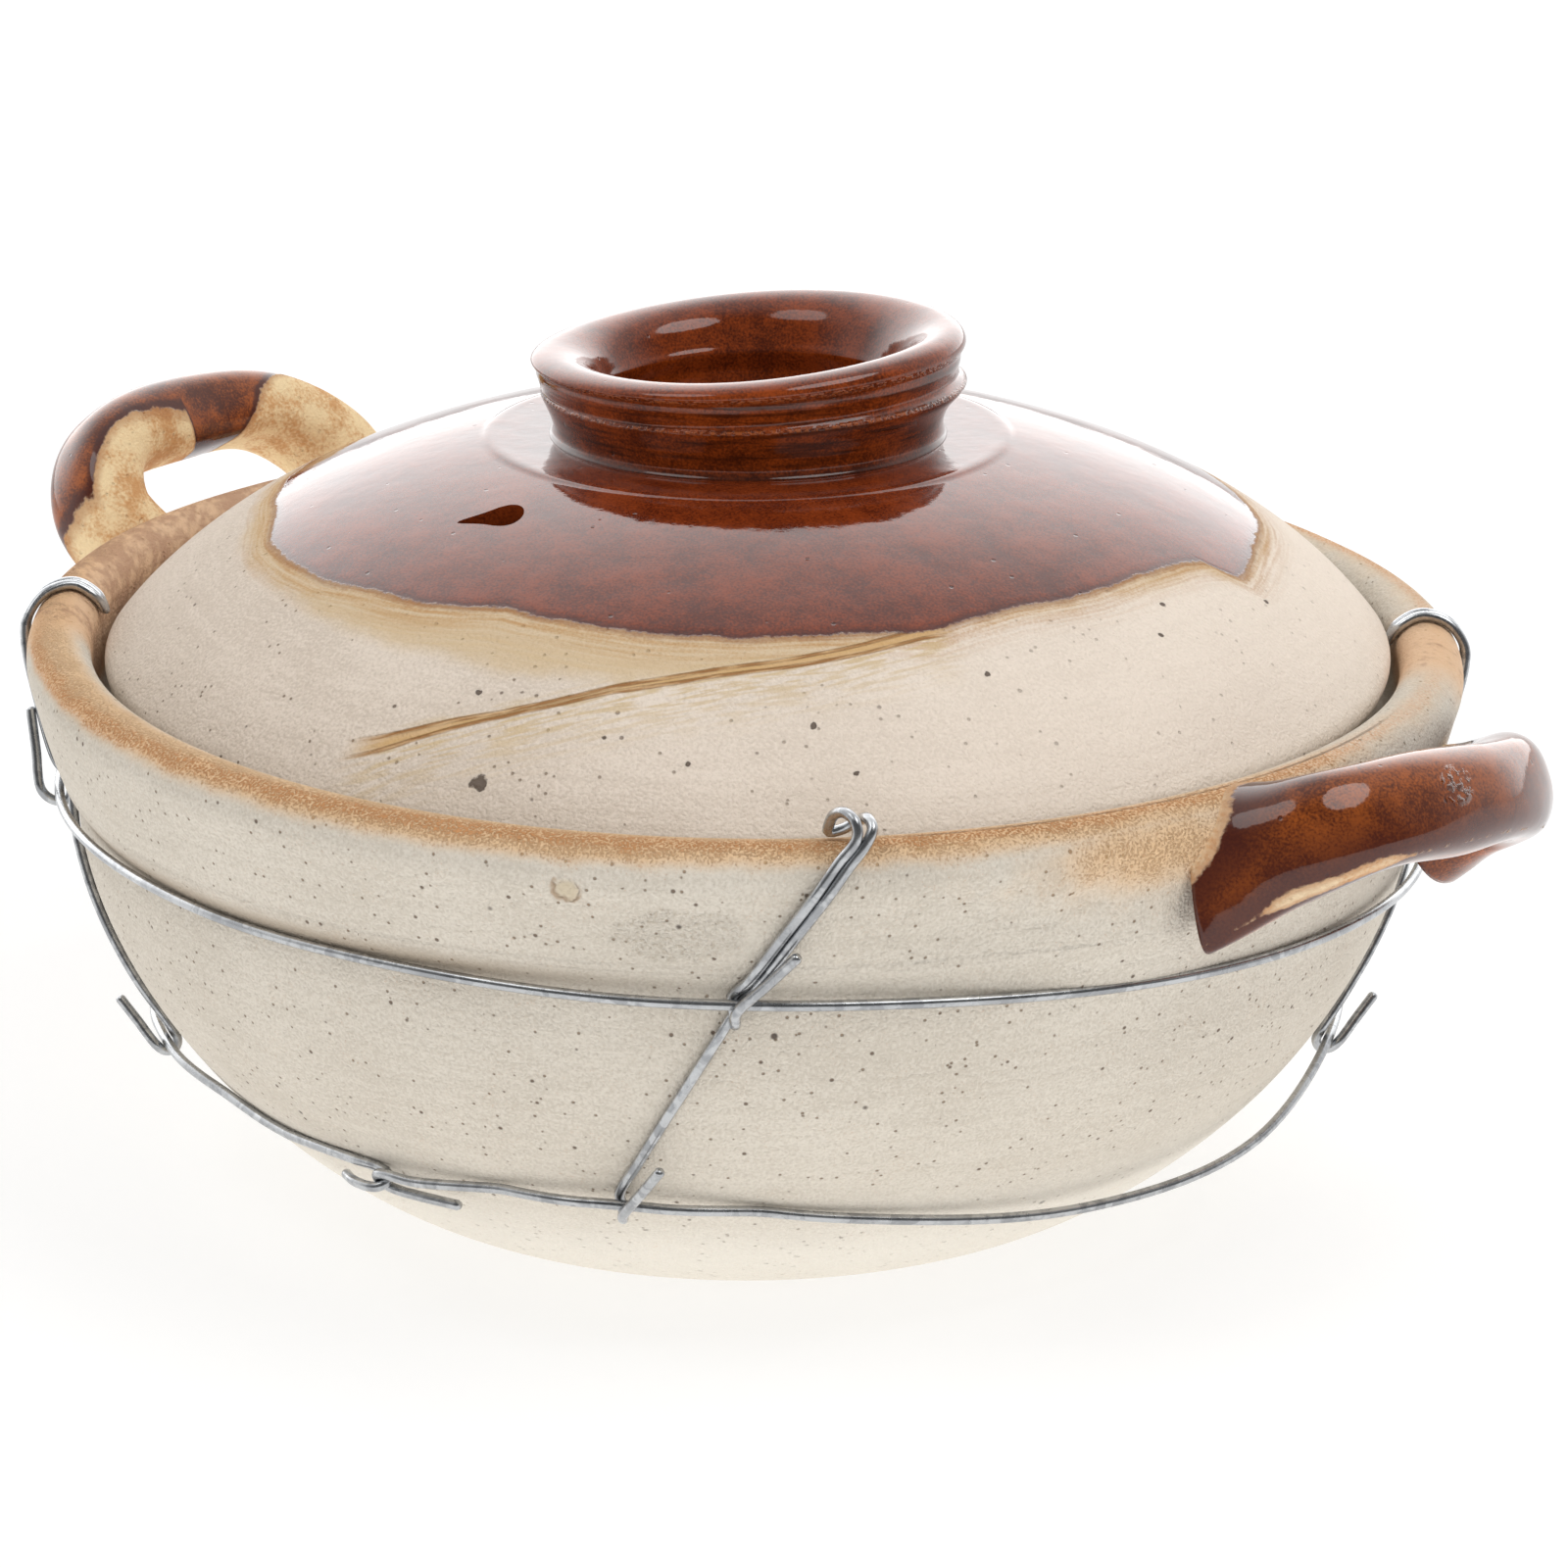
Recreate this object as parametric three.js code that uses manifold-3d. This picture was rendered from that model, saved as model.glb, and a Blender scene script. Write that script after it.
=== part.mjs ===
// Clay casserole bound with wire: a thrown stoneware pot with two loop handles, a domed lid with a
// hollow ring knob, and a harness of two wire rings joined by four hooked strut wires.
// Millimetres, +Z up. The origin is the centre of the flat foot, and the handles lie along X.
// Azimuths are in degrees, counted from +X towards +Y.
import * as THREE from 'three';
import { mergeVertices } from 'three/addons/utils/BufferGeometryUtils.js';
import Module from 'manifold-3d';

// Pot: radii from the turning axis, heights from the foot
const LIP_RADIUS = 115.4; // outermost point of the rolled lip
const LIP_Z = 82.6; // height of the lip's middle
const LIP_THICKNESS = 10.2;
const RIM_TILT = 4.4; // the lip is drawn up this much on one side
const RIM_TILT_AZIMUTH = -162;
const BAND_HEIGHT = 13.6; // from the lip's middle down to the ledge above the upper wire ring
const BAND_TAPER = 4.6; // the band leans in this much from the lip to the ledge
const LEDGE_HEIGHT = 5; // from the ledge down to the shoulder
const LEDGE_STEP = 2.4; // the shoulder lies this far inside the ledge
const LEDGE_HOLLOW = [0.4, 0.6]; // where the step is hollowed, as shares of its width and height
const FOOT_RADIUS = 61.5;
const BELLY_FLARE = 11; // the bowl runs on flat this far beyond the foot before it turns up
const BELLY_RISE = 32; // the bowl stays upright this far below the shoulder
const WALL = 7.5;
const FLOOR = 8;
const SEAT_DROP = 1; // the lid's seat lies this far below the lip's middle
const SEAT_WIDTH = 6.5;
const SEAT_ROUND = 1.5;

// Lid
const LID_PLAY = 1.6; // gap all round between the lid's edge and the lip
const LID_EDGE = 7; // height of the lid's rounded edge
const LID_WALL = 7;
const LID_RISE = 30.5; // from the top of the edge to the flat disc under the knob
const LID_BULGE = 6.2; // the dome swells this far above a straight cone
const LID_FULLEST = 0.58; // share of the way from the disc to the edge where the swelling is greatest
const LID_FOOT_WIDTH = 9;
const DISC_RADIUS = 42.5;
const DISC_STEP = 1;
const STEAM_HOLE = 6.2;
const STEAM_HOLE_OFFSET = 12.5; // from the disc's edge to the hole's middle
const STEAM_HOLE_AZIMUTH = -97.5;

// Knob: a thrown ring that stands a little higher on one side
const KNOB_BASE_RADIUS = 30.6;
const KNOB_WAIST_RADIUS = 30;
const KNOB_RIDGE_RADIUS = 33.6;
const KNOB_TOP_RADIUS = 35;
const KNOB_MOUTH_RADIUS = 24.5;
const KNOB_BORE_RADIUS = 21.5;
const KNOB_HEIGHT = 15.5;
const KNOB_LIP = 5; // height of the rounded top lip
const KNOB_RIDGE = 4.2; // height of the second ridge, below the lip
const KNOB_FUNNEL = 8; // depth of the slope from the mouth to the bore
const KNOB_LEAN = 4; // degrees
const KNOB_LEAN_AZIMUTH = 35;

// Handles: a rolled strap bent into a loop and luted to the band
const HANDLE_SPREAD = 30; // half the distance between the two feet
const HANDLE_REACH = 13.6; // the middle of the grip lies this far outside the lip
const STRAP_WIDTH = 13.5;
const STRAP_HEIGHT = 15.5;
const FOOT_FLARE = 5; // the strap is this much higher and wider at its feet
// Spine of the strap from inside the wall to near the grip, as shares of its reach, spread and rise.
const SPINE = [[-0.5, 1, -0.15], [0, 1, 0.1], [0.5, 0.95, 0.55], [0.86, 0.6, 0.9]];
// Foot and grip are heights above the lip's middle. The roll, in degrees, sets one foot higher on the
// wall than the other.
const HANDLES = [
  { name: 'handle_right', azimuth: 0, foot: -9.1, grip: -0.1, roll: 10 },
  { name: 'handle_left', azimuth: 176, foot: -3.6, grip: 18.4, roll: 0 },
];

// Wire harness
const WIRE = 1.6;
const UPPER_TAIL = 10; // a strut's free end in front of the upper ring
const LOWER_TAIL = 6; // and in front of the lower ring
const LEG_GAP = 0.8; // between the two legs of a strut's rim hook
const HOOK_TURN = 150; // degrees over the lip where the rim hook turns back
const HOOK_NOSE = 1.5; // length of a ring hook's bend for its half width
const RING_TAIL = 13; // length of a ring's hooked ends
const RING_EASE = 21; // from a ring's joint to where it has come back to the clay
const CROSSING_FLAT = 4; // degrees to each side of a strut where a ring keeps off the clay
const CROSSING_END = 13; // degrees to each side where it has come back to the clay
// Azimuths of a strut's rim hook and of its two ends, and how far the hook arches off the lip.
const STRUTS = [
  { name: 'strut_front', lip: -47.3, upper: -56, lower: -66, arch: 3.6 },
  { name: 'strut_right', lip: 34, upper: 28, lower: 18, arch: 0.6 },
  { name: 'strut_back', lip: 133, upper: 125, lower: 116, arch: 0.6 },
  { name: 'strut_left', lip: -147, upper: -138, lower: -128, arch: 0.6 },
];
// Each station of a ring is an azimuth, a height above the ring's level and how far the wire hangs away
// from the clay. The upper ring's level is the ledge.
const LOWER_RING_Z = 28;
const UPPER_STATIONS = [
  [-138, -3, 0], [-104, -3.5, 0], [-56, -3.5, 0], [-20, -8.5, 0],
  [4, -12, 0], [28, -14, 0], [76, -13.5, 0], [125, -11, 0], [172, -6, 0],
];
const LOWER_STATIONS = [
  [-128, 0, 1], [-112, -4, 0], [-90, -3, 0], [-66, 1, 0], [-46, -3.5, 0.5],
  [-20, -8, 2.5], [0, -5.5, 4.5], [18, 0, 2], [70, 0, 2], [116, 0, 0], [172, 0, 0],
];
const UPPER_JOINT = 150; // azimuth where the ring's two ends hook into each other
const LOWER_JOINT = -90;

// Fits
const LUTE = 0.3; // joint between two clay pieces, and between the lid and its seat
const WIRE_GAP = 0.55; // between a wire and what it lies on

// Facets
const POT_SEGMENTS = 56;
const BOWL_STEPS = 9;
const INSIDE_STEPS = 7;
const LIP_STEPS = 8;
const DOME_STEPS = 8;
const EDGE_STEPS = 6;
const HOLE_SIDES = 14;
const KNOB_SEGMENTS = 32;
const KNOB_STEPS = 4;
const STRAP_SIDES = 12;
const STRAP_STATIONS = 26;
const WIRE_SIDES = 6;
const WIRE_STEPS = 2; // between two points of a bent wire
const RING_STEP = 4.5; // degrees
const HALF_TURN = [-90, -45, 0, 45, 90]; // degrees of a hook's bend
const LIP_SHARES = [0.1, 0.35, 0.6, 0.85]; // of a rim hook's way over the lip
const BOWL_SHARES = [0.2, 0.4, 0.6, 0.8]; // of a strut's way down the bowl

const wasm = await Module();
wasm.setup();

const radians = THREE.MathUtils.degToRad;
const mix = THREE.MathUtils.lerp;
const point = (radius, z) => new THREE.Vector2(radius, z);

// Outlines

const lipSize = LIP_THICKNESS / 2;
const lipCentre = LIP_RADIUS - lipSize;
const lipInner = LIP_RADIUS - LIP_THICKNESS;
const seatZ = LIP_Z - SEAT_DROP;
const seatInner = lipInner - SEAT_WIDTH;
const ledgeRadius = LIP_RADIUS - BAND_TAPER;
const ledgeZ = LIP_Z - BAND_HEIGHT;
const shoulderRadius = ledgeRadius - LEDGE_STEP;
const shoulderZ = ledgeZ - LEDGE_HEIGHT;

// Circular arc of an outline about (radius, z), between two angles in degrees.
function arc(radius, z, size, start, end, steps) {
  return Array.from({ length: steps + 1 }, (_, i) => {
    const angle = radians(mix(start, end, i / steps));
    return point(radius + size * Math.cos(angle), z + size * Math.sin(angle));
  });
}

// Bowl from the foot up to the shoulder. The inside one is set in by the wall and starts on the floor.
function bowl(wall, floor, steps) {
  const foot = point(FOOT_RADIUS - wall / 2, floor);
  const shoulder = point(shoulderRadius - wall, shoulderZ);
  const footPull = point(foot.x + BELLY_FLARE, floor);
  const shoulderPull = point(shoulder.x, shoulderZ - BELLY_RISE);
  return new THREE.CubicBezierCurve(foot, footPull, shoulderPull, shoulder).getPoints(steps);
}

// Outside of the pot from the foot up to the lip's outermost point.
const outside = [
  ...bowl(0, 0, BOWL_STEPS),
  point(mix(shoulderRadius, ledgeRadius, LEDGE_HOLLOW[0]), mix(shoulderZ, ledgeZ, LEDGE_HOLLOW[1])),
  point(ledgeRadius, ledgeZ),
  point(LIP_RADIUS, LIP_Z),
];

// Radius of the pot's outside at a height.
function wallRadius(z) {
  const i = outside.findIndex((p, k) => k > 0 && z <= p.y);
  if (i < 0) return LIP_RADIUS;
  const [low, high] = [outside[i - 1], outside[i]];
  return mix(low.x, high.x, (z - low.y) / (high.y - low.y));
}

// Solids

function turned(outline, segments) {
  return new THREE.LatheGeometry(outline, segments).rotateX(Math.PI / 2);
}

// Skin over a row of rings that all have the same count of points, closed by a fan at each end.
function skinned(rings) {
  const count = rings[0].length;
  const indices = [];
  for (let i = 0; i + 1 < rings.length; i += 1) {
    for (let j = 0; j < count; j += 1) {
      const a = i * count + j;
      const b = i * count + ((j + 1) % count);
      indices.push(a, b, a + count, b, b + count, a + count);
    }
  }
  const last = (rings.length - 1) * count;
  for (let j = 1; j + 1 < count; j += 1) {
    indices.push(0, j + 1, j, last, last + j, last + j + 1);
  }
  const geometry = new THREE.BufferGeometry();
  const positions = rings.flat().flatMap((p) => p.toArray());
  geometry.setAttribute('position', new THREE.Float32BufferAttribute(positions, 3));
  geometry.setIndex(indices);
  return geometry;
}

// Oval ring of points about a centre, in the plane of two directions.
function oval(centre, first, firstSize, second, secondSize, sides) {
  return Array.from({ length: sides }, (_, k) => {
    const angle = (2 * Math.PI * k) / sides;
    return centre.clone()
      .addScaledVector(first, firstSize * Math.cos(angle))
      .addScaledVector(second, secondSize * Math.sin(angle));
  });
}

function solidOf(geometry) {
  const bare = geometry.clone();
  bare.deleteAttribute('normal');
  bare.deleteAttribute('uv');
  const merged = mergeVertices(bare);
  const triangles = [];
  for (let i = 0; i < merged.index.count; i += 3) {
    const [a, b, c] = merged.index.array.slice(i, i + 3);
    if (a !== b && b !== c && c !== a) triangles.push(a, b, c);
  }
  return new wasm.Manifold(new wasm.Mesh({
    numProp: 3,
    vertProperties: new Float32Array(merged.attributes.position.array),
    triVerts: new Uint32Array(triangles),
  }));
}

function cut(geometry, tool) {
  const mesh = solidOf(geometry).subtract(solidOf(tool)).getMesh();
  const result = new THREE.BufferGeometry();
  result.setAttribute('position', new THREE.Float32BufferAttribute(mesh.vertProperties, 3));
  result.setIndex(Array.from(mesh.triVerts));
  return result;
}

// Pot

// The lip isn't level: how far the wall is drawn up at an azimuth and a height.
function rimRise(azimuth, z) {
  const share = THREE.MathUtils.clamp((z - ledgeZ) / (LIP_Z - ledgeZ), 0, 1);
  return (share * RIM_TILT * (1 + Math.cos(radians(azimuth - RIM_TILT_AZIMUTH)))) / 2;
}

// Draws the lip up to one side. The seat stays level.
function drawnUp(geometry) {
  const place = geometry.attributes.position;
  for (let i = 0; i < place.count; i += 1) {
    const [x, y, z] = [place.getX(i), place.getY(i), place.getZ(i)];
    const onLip = Math.hypot(x, y) > lipInner - LUTE && z > LIP_Z - SEAT_DROP / 2;
    if (onLip) place.setZ(i, z + rimRise(THREE.MathUtils.radToDeg(Math.atan2(y, x)), z));
  }
  return geometry;
}

function potBody() {
  const outline = [
    point(0, 0),
    ...outside,
    ...arc(lipCentre, LIP_Z, lipSize, 0, 180, LIP_STEPS).slice(1),
    point(lipInner, seatZ),
    point(seatInner + SEAT_ROUND, seatZ),
    point(seatInner, seatZ - SEAT_ROUND),
    ...bowl(WALL, FLOOR, INSIDE_STEPS).reverse(),
    point(0, FLOOR),
  ];
  return drawnUp(turned(outline, POT_SEGMENTS));
}

// Solid of the pot's outside, grown by the luted joint, that trims what is set on the wall.
function trimmingWall() {
  const outline = [
    point(0, -LUTE),
    ...outside.map((p) => point(p.x + LUTE, p.y)),
    ...arc(lipCentre, LIP_Z, lipSize + LUTE, 0, 90, LIP_STEPS).slice(1),
    point(0, LIP_Z + lipSize + LUTE),
  ];
  return drawnUp(turned(outline, POT_SEGMENTS));
}

// Loop handle: an oval strap along a bent spine, cut off where it meets the pot.
function handle({ azimuth, foot, grip, roll }) {
  const footZ = LIP_Z + foot;
  const rise = grip - foot;
  const root = wallRadius(footZ);
  const reach = LIP_RADIUS + HANDLE_REACH - root;
  const place = ([out, aside, up], side) => new THREE.Vector3(
    root + out * reach,
    side * aside * HANDLE_SPREAD,
    footZ + up * rise,
  );
  const spine = new THREE.CatmullRomCurve3([
    ...SPINE.map((shares) => place(shares, -1)),
    place([1, 0, 1], 0),
    ...SPINE.map((shares) => place(shares, 1)).reverse(),
  ]);
  const tilt = Math.atan2(rise, reach);
  const upright = new THREE.Vector3(-Math.sin(tilt), 0, Math.cos(tilt));
  const rings = Array.from({ length: STRAP_STATIONS + 1 }, (_, i) => {
    const t = i / STRAP_STATIONS;
    const along = spine.getTangentAt(t);
    const inwards = new THREE.Vector3().crossVectors(upright, along).normalize();
    const above = new THREE.Vector3().crossVectors(along, inwards);
    const flare = FOOT_FLARE * Math.abs(2 * t - 1) ** 3;
    const width = (STRAP_WIDTH + flare) / 2;
    const height = (STRAP_HEIGHT + flare) / 2;
    return oval(spine.getPointAt(t), inwards, width, above, height, STRAP_SIDES);
  });
  const strap = skinned(rings).translate(0, 0, -footZ).rotateX(radians(-roll)).translate(0, 0, footZ);
  return cut(strap.rotateZ(radians(azimuth)), trimmingWall());
}

// Lid

const lidRadius = lipInner - LID_PLAY;
const lidFootZ = seatZ + LUTE;
const lidEdgeTop = lidFootZ + LID_EDGE;
const discZ = lidEdgeTop + LID_RISE;

// Domed lid: an edge rolled round, a swelling slope and a flat disc that carries the knob.
function lid() {
  const edge = LID_EDGE / 2;
  const edgeCentre = lidRadius - edge;
  const slopeTop = point(DISC_RADIUS, discZ - DISC_STEP);
  const slopeFoot = point(edgeCentre, lidEdgeTop);
  const slope = slopeFoot.clone().sub(slopeTop).normalize();
  const swell = point(-slope.y, slope.x).multiplyScalar(2 * LID_BULGE);
  const pull = slopeTop.clone().lerp(slopeFoot, LID_FULLEST).add(swell);
  const dome = new THREE.QuadraticBezierCurve(slopeFoot, pull, slopeTop).getPoints(DOME_STEPS);
  const wall = point(-slope.y, slope.x).multiplyScalar(-LID_WALL);
  const under = dome.slice(1).map((p) => p.clone().add(wall)).reverse();
  const outline = [
    point(0, discZ - LID_WALL),
    ...under,
    point(lidRadius - LID_FOOT_WIDTH, lidFootZ),
    ...arc(edgeCentre, lidFootZ + edge, edge, -90, 90, EDGE_STEPS),
    ...dome.slice(1),
    point(DISC_RADIUS - DISC_STEP, discZ),
    point(0, discZ),
  ];
  const azimuth = radians(STEAM_HOLE_AZIMUTH);
  const distance = DISC_RADIUS + STEAM_HOLE_OFFSET;
  const drill = new THREE.CylinderGeometry(STEAM_HOLE / 2, STEAM_HOLE / 2, 2 * discZ, HOLE_SIDES);
  drill.rotateX(Math.PI / 2);
  drill.translate(distance * Math.cos(azimuth), distance * Math.sin(azimuth), 0);
  return cut(turned(outline, POT_SEGMENTS), drill);
}

// Ring knob: an open collar with a rounded lip and a ridge under it, drawn up on one side.
function lidKnob() {
  const lipFoot = KNOB_HEIGHT - KNOB_LIP;
  const ridgeFoot = lipFoot - KNOB_RIDGE;
  const lipRound = KNOB_LIP / 2;
  const ridgeRound = KNOB_RIDGE / 2;
  const crest = point(KNOB_TOP_RADIUS - lipRound, KNOB_HEIGHT);
  const throat = point(KNOB_BORE_RADIUS, KNOB_HEIGHT - KNOB_FUNNEL);
  const funnel = new THREE.QuadraticBezierCurve(crest, point(KNOB_MOUTH_RADIUS, KNOB_HEIGHT), throat);
  const outline = [
    point(KNOB_BORE_RADIUS, 0),
    point(KNOB_BASE_RADIUS, 0),
    point(KNOB_WAIST_RADIUS, ridgeFoot / 2),
    ...arc(KNOB_RIDGE_RADIUS - ridgeRound, ridgeFoot + ridgeRound, ridgeRound, -60, 60, KNOB_STEPS),
    ...arc(crest.x, lipFoot + lipRound, lipRound, -60, 90, KNOB_STEPS),
    ...funnel.getPoints(KNOB_STEPS).slice(1),
    point(KNOB_BORE_RADIUS, 0),
  ];
  const geometry = turned(outline, KNOB_SEGMENTS);
  const place = geometry.attributes.position;
  const towards = point(Math.cos(radians(KNOB_LEAN_AZIMUTH)), Math.sin(radians(KNOB_LEAN_AZIMUTH)));
  for (let i = 0; i < place.count; i += 1) {
    const offset = place.getX(i) * towards.x + place.getY(i) * towards.y;
    const lift = (offset * Math.tan(radians(KNOB_LEAN))) / KNOB_HEIGHT;
    place.setZ(i, place.getZ(i) * (1 + lift));
  }
  return geometry.translate(0, 0, discZ + LUTE);
}

// Wire harness

// Two wires that cross keep this distance, and a wire next to the clay keeps the other from it.
const wirePitch = WIRE + WIRE_GAP;
const touching = WIRE / 2 + WIRE_GAP;

const upperRing = {
  name: 'upper_ring', level: ledgeZ, stations: UPPER_STATIONS, joint: UPPER_JOINT, strutEnd: 'upper',
};
const lowerRing = {
  name: 'lower_ring', level: LOWER_RING_Z, stations: LOWER_STATIONS, joint: LOWER_JOINT, strutEnd: 'lower',
};

// Round wire along a row of points, each ring carried on from the last without a twist.
function wireAlong(path) {
  const side = new THREE.Vector3(0.3, 0.5, 0.8);
  const rings = path.map((centre, i) => {
    const ahead = path[Math.min(i + 1, path.length - 1)];
    const along = ahead.clone().sub(path[Math.max(i - 1, 0)]).normalize();
    side.addScaledVector(along, -side.dot(along)).normalize();
    const other = new THREE.Vector3().crossVectors(along, side);
    return oval(centre, side, WIRE / 2, other, WIRE / 2, WIRE_SIDES);
  });
  return skinned(rings);
}

// Smooth row of points through the given ones.
function smooth(points) {
  return new THREE.CatmullRomCurve3(points).getPoints(WIRE_STEPS * (points.length - 1));
}

// A place round the pot: azimuth, distance of the wire's middle from the clay, and a height that
// runs on over the lip as a length along its round.
function onClay(azimuth, off, height) {
  let foot;
  let out;
  if (height < LIP_Z) {
    const lean = (wallRadius(height + WIRE) - wallRadius(height - WIRE)) / (2 * WIRE);
    foot = point(wallRadius(height), height);
    out = point(1, -lean).normalize();
  } else {
    const turn = (height - LIP_Z) / lipSize;
    out = point(Math.cos(turn), Math.sin(turn));
    foot = point(lipCentre, LIP_Z).addScaledVector(out, lipSize);
  }
  foot.addScaledVector(out, off);
  foot.y += rimRise(azimuth, height);
  return new THREE.Vector3(foot.x * Math.cos(radians(azimuth)), foot.x * Math.sin(radians(azimuth)), foot.y);
}

// Gives the height and the distance from the clay of a ring at any azimuth. It passes over the struts.
function ringTrack({ level, stations, strutEnd }) {
  const rounds = [-360, 0, 360].flatMap((turn) => stations.map(
    ([azimuth, rise, slack]) => [azimuth + turn, level + rise, slack],
  ));
  const track = new THREE.CubicInterpolant(
    rounds.map(([azimuth]) => azimuth),
    rounds.flatMap(([, z, slack]) => [z, slack]),
    2,
  );
  return (azimuth) => {
    const [z, slack] = track.evaluate(azimuth);
    const lifts = STRUTS.map((strut) => {
      const apart = Math.abs(THREE.MathUtils.euclideanModulo(azimuth - strut[strutEnd] + 180, 360) - 180);
      return 1 - THREE.MathUtils.smoothstep(apart, CROSSING_FLAT, CROSSING_END);
    });
    return { z, off: touching + Math.max(slack, wirePitch * Math.max(...lifts)) };
  };
}

// One ring of wire. Its ends are bent back into hooks that hold each other: one hook stands upright,
// the other lies flat with its free end in front.
function wireRing(ring) {
  const track = ringTrack(ring);
  const { joint } = ring;
  const { z } = track(joint);
  const degrees = (length) => THREE.MathUtils.radToDeg(length / wallRadius(z));
  const upright = (along, rise) => onClay(joint + degrees(along), touching + wirePitch, z + rise);
  const lying = (along, off) => onClay(joint - degrees(along), touching + off, z);
  const bend = HALF_TURN.map((angle) => ({
    along: wirePitch * (1 - HOOK_NOSE * Math.cos(radians(angle))),
    across: wirePitch * Math.sin(radians(angle)),
  }));
  const first = [
    upright(RING_TAIL, -wirePitch), upright(RING_TAIL / 2, -wirePitch),
    ...bend.map(({ along, across }) => upright(along, across)),
    upright(RING_TAIL / 2, wirePitch),
  ];
  const last = [
    lying(RING_TAIL / 2, 0),
    ...bend.map(({ along, across }) => lying(along, wirePitch + across)),
    lying(RING_TAIL / 2, 2 * wirePitch), lying(RING_TAIL, 2 * wirePitch),
  ];
  const ease = degrees(RING_EASE);
  const count = Math.round((360 - 2 * ease) / RING_STEP);
  const round = Array.from({ length: count + 1 }, (_, i) => {
    const azimuth = mix(joint + ease, joint + 360 - ease, i / count);
    const place = track(azimuth);
    return onClay(azimuth, place.off, place.z);
  });
  return wireAlong([...smooth(first), ...round, ...smooth(last)]);
}

// Open hook round a ring, from its free end in front of the ring to the wire behind it. The free end
// leans along the ring by the given share of its length.
function hookRound(azimuth, ring, tail, lean) {
  const centre = onClay(azimuth, ring.off, ring.z);
  const out = onClay(azimuth, ring.off + 1, ring.z).sub(centre);
  const along = new THREE.Vector3(-Math.sin(radians(azimuth)), Math.cos(radians(azimuth)), 0);
  const up = new THREE.Vector3().crossVectors(out, along);
  const end = up.clone().addScaledVector(along, lean).setLength(tail);
  const round = HALF_TURN.map((angle) => centre.clone()
    .addScaledVector(out, -wirePitch * Math.sin(radians(angle)))
    .addScaledVector(up, -wirePitch * Math.cos(radians(angle))));
  return [round[0].clone().add(end), round[0].clone().addScaledVector(end, 1 / 2), ...round];
}

// One strut wire: hooked under the upper ring, up the band, over the lip and back beside itself, then
// behind both rings down the bowl and hooked round the lower ring.
function strut({ lip, upper, lower, arch }) {
  const top = ringTrack(upperRing)(upper);
  const low = ringTrack(lowerRing)(lower);
  const onLip = (degrees) => LIP_Z + lipSize * radians(degrees);
  const crest = onLip(90);
  const beside = THREE.MathUtils.radToDeg((WIRE + LEG_GAP) / LIP_RADIUS);
  const bandLean = (lip - upper) / (crest - top.z);
  const bowlLean = (upper - lower) / (top.z - low.z);
  const leg = (height, shift) => {
    const turned = Math.max(0, height - LIP_Z) / (onLip(HOOK_TURN) - LIP_Z);
    const off = touching + arch * Math.sin(Math.PI * turned);
    return onClay(upper + bandLean * (Math.min(height, crest) - top.z) + shift, off, height);
  };
  const heights = [
    ledgeZ, (ledgeZ + LIP_Z) / 2,
    ...LIP_SHARES.map((share) => onLip(share * HOOK_TURN)),
  ];
  const path = [
    ...hookRound(upper, top, UPPER_TAIL, LIP_RADIUS * radians(bandLean)),
    ...heights.map((height) => leg(height, 0)),
    leg(onLip(HOOK_TURN), beside / 2),
    ...heights.map((height) => leg(height, beside)).reverse(),
    onClay(upper + beside, top.off - wirePitch, top.z),
    ...BOWL_SHARES.map((share) => onClay(
      mix(upper + beside, lower, share),
      touching,
      mix(top.z, low.z, share),
    )),
    ...hookRound(lower, low, LOWER_TAIL, LIP_RADIUS * radians(bowlLean)).reverse(),
  ];
  return wireAlong(smooth(path));
}

// Assembly

const bareClay = new THREE.MeshStandardMaterial({ color: 0xdccfb8, roughness: 0.9, metalness: 0 });
const brownGlaze = new THREE.MeshStandardMaterial({ color: 0x6e2d14, roughness: 0.15, metalness: 0 });
const zincWire = new THREE.MeshStandardMaterial({ color: 0x969a9c, roughness: 0.4, metalness: 0.9 });

function piece(name, geometry, material) {
  const mesh = new THREE.Mesh(geometry, material);
  mesh.name = name;
  return mesh;
}

const casserole = new THREE.Group();
casserole.add(
  piece('pot_body', potBody(), bareClay),
  ...HANDLES.map((loop) => piece(loop.name, handle(loop), brownGlaze)),
  piece('lid', lid(), bareClay),
  piece('lid_knob', lidKnob(), brownGlaze),
  ...[upperRing, lowerRing].map((ring) => piece(ring.name, wireRing(ring), zincWire)),
  ...STRUTS.map((wire) => piece(wire.name, strut(wire), zincWire)),
);

export default casserole;
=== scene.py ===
# %% [markdown]
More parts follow.
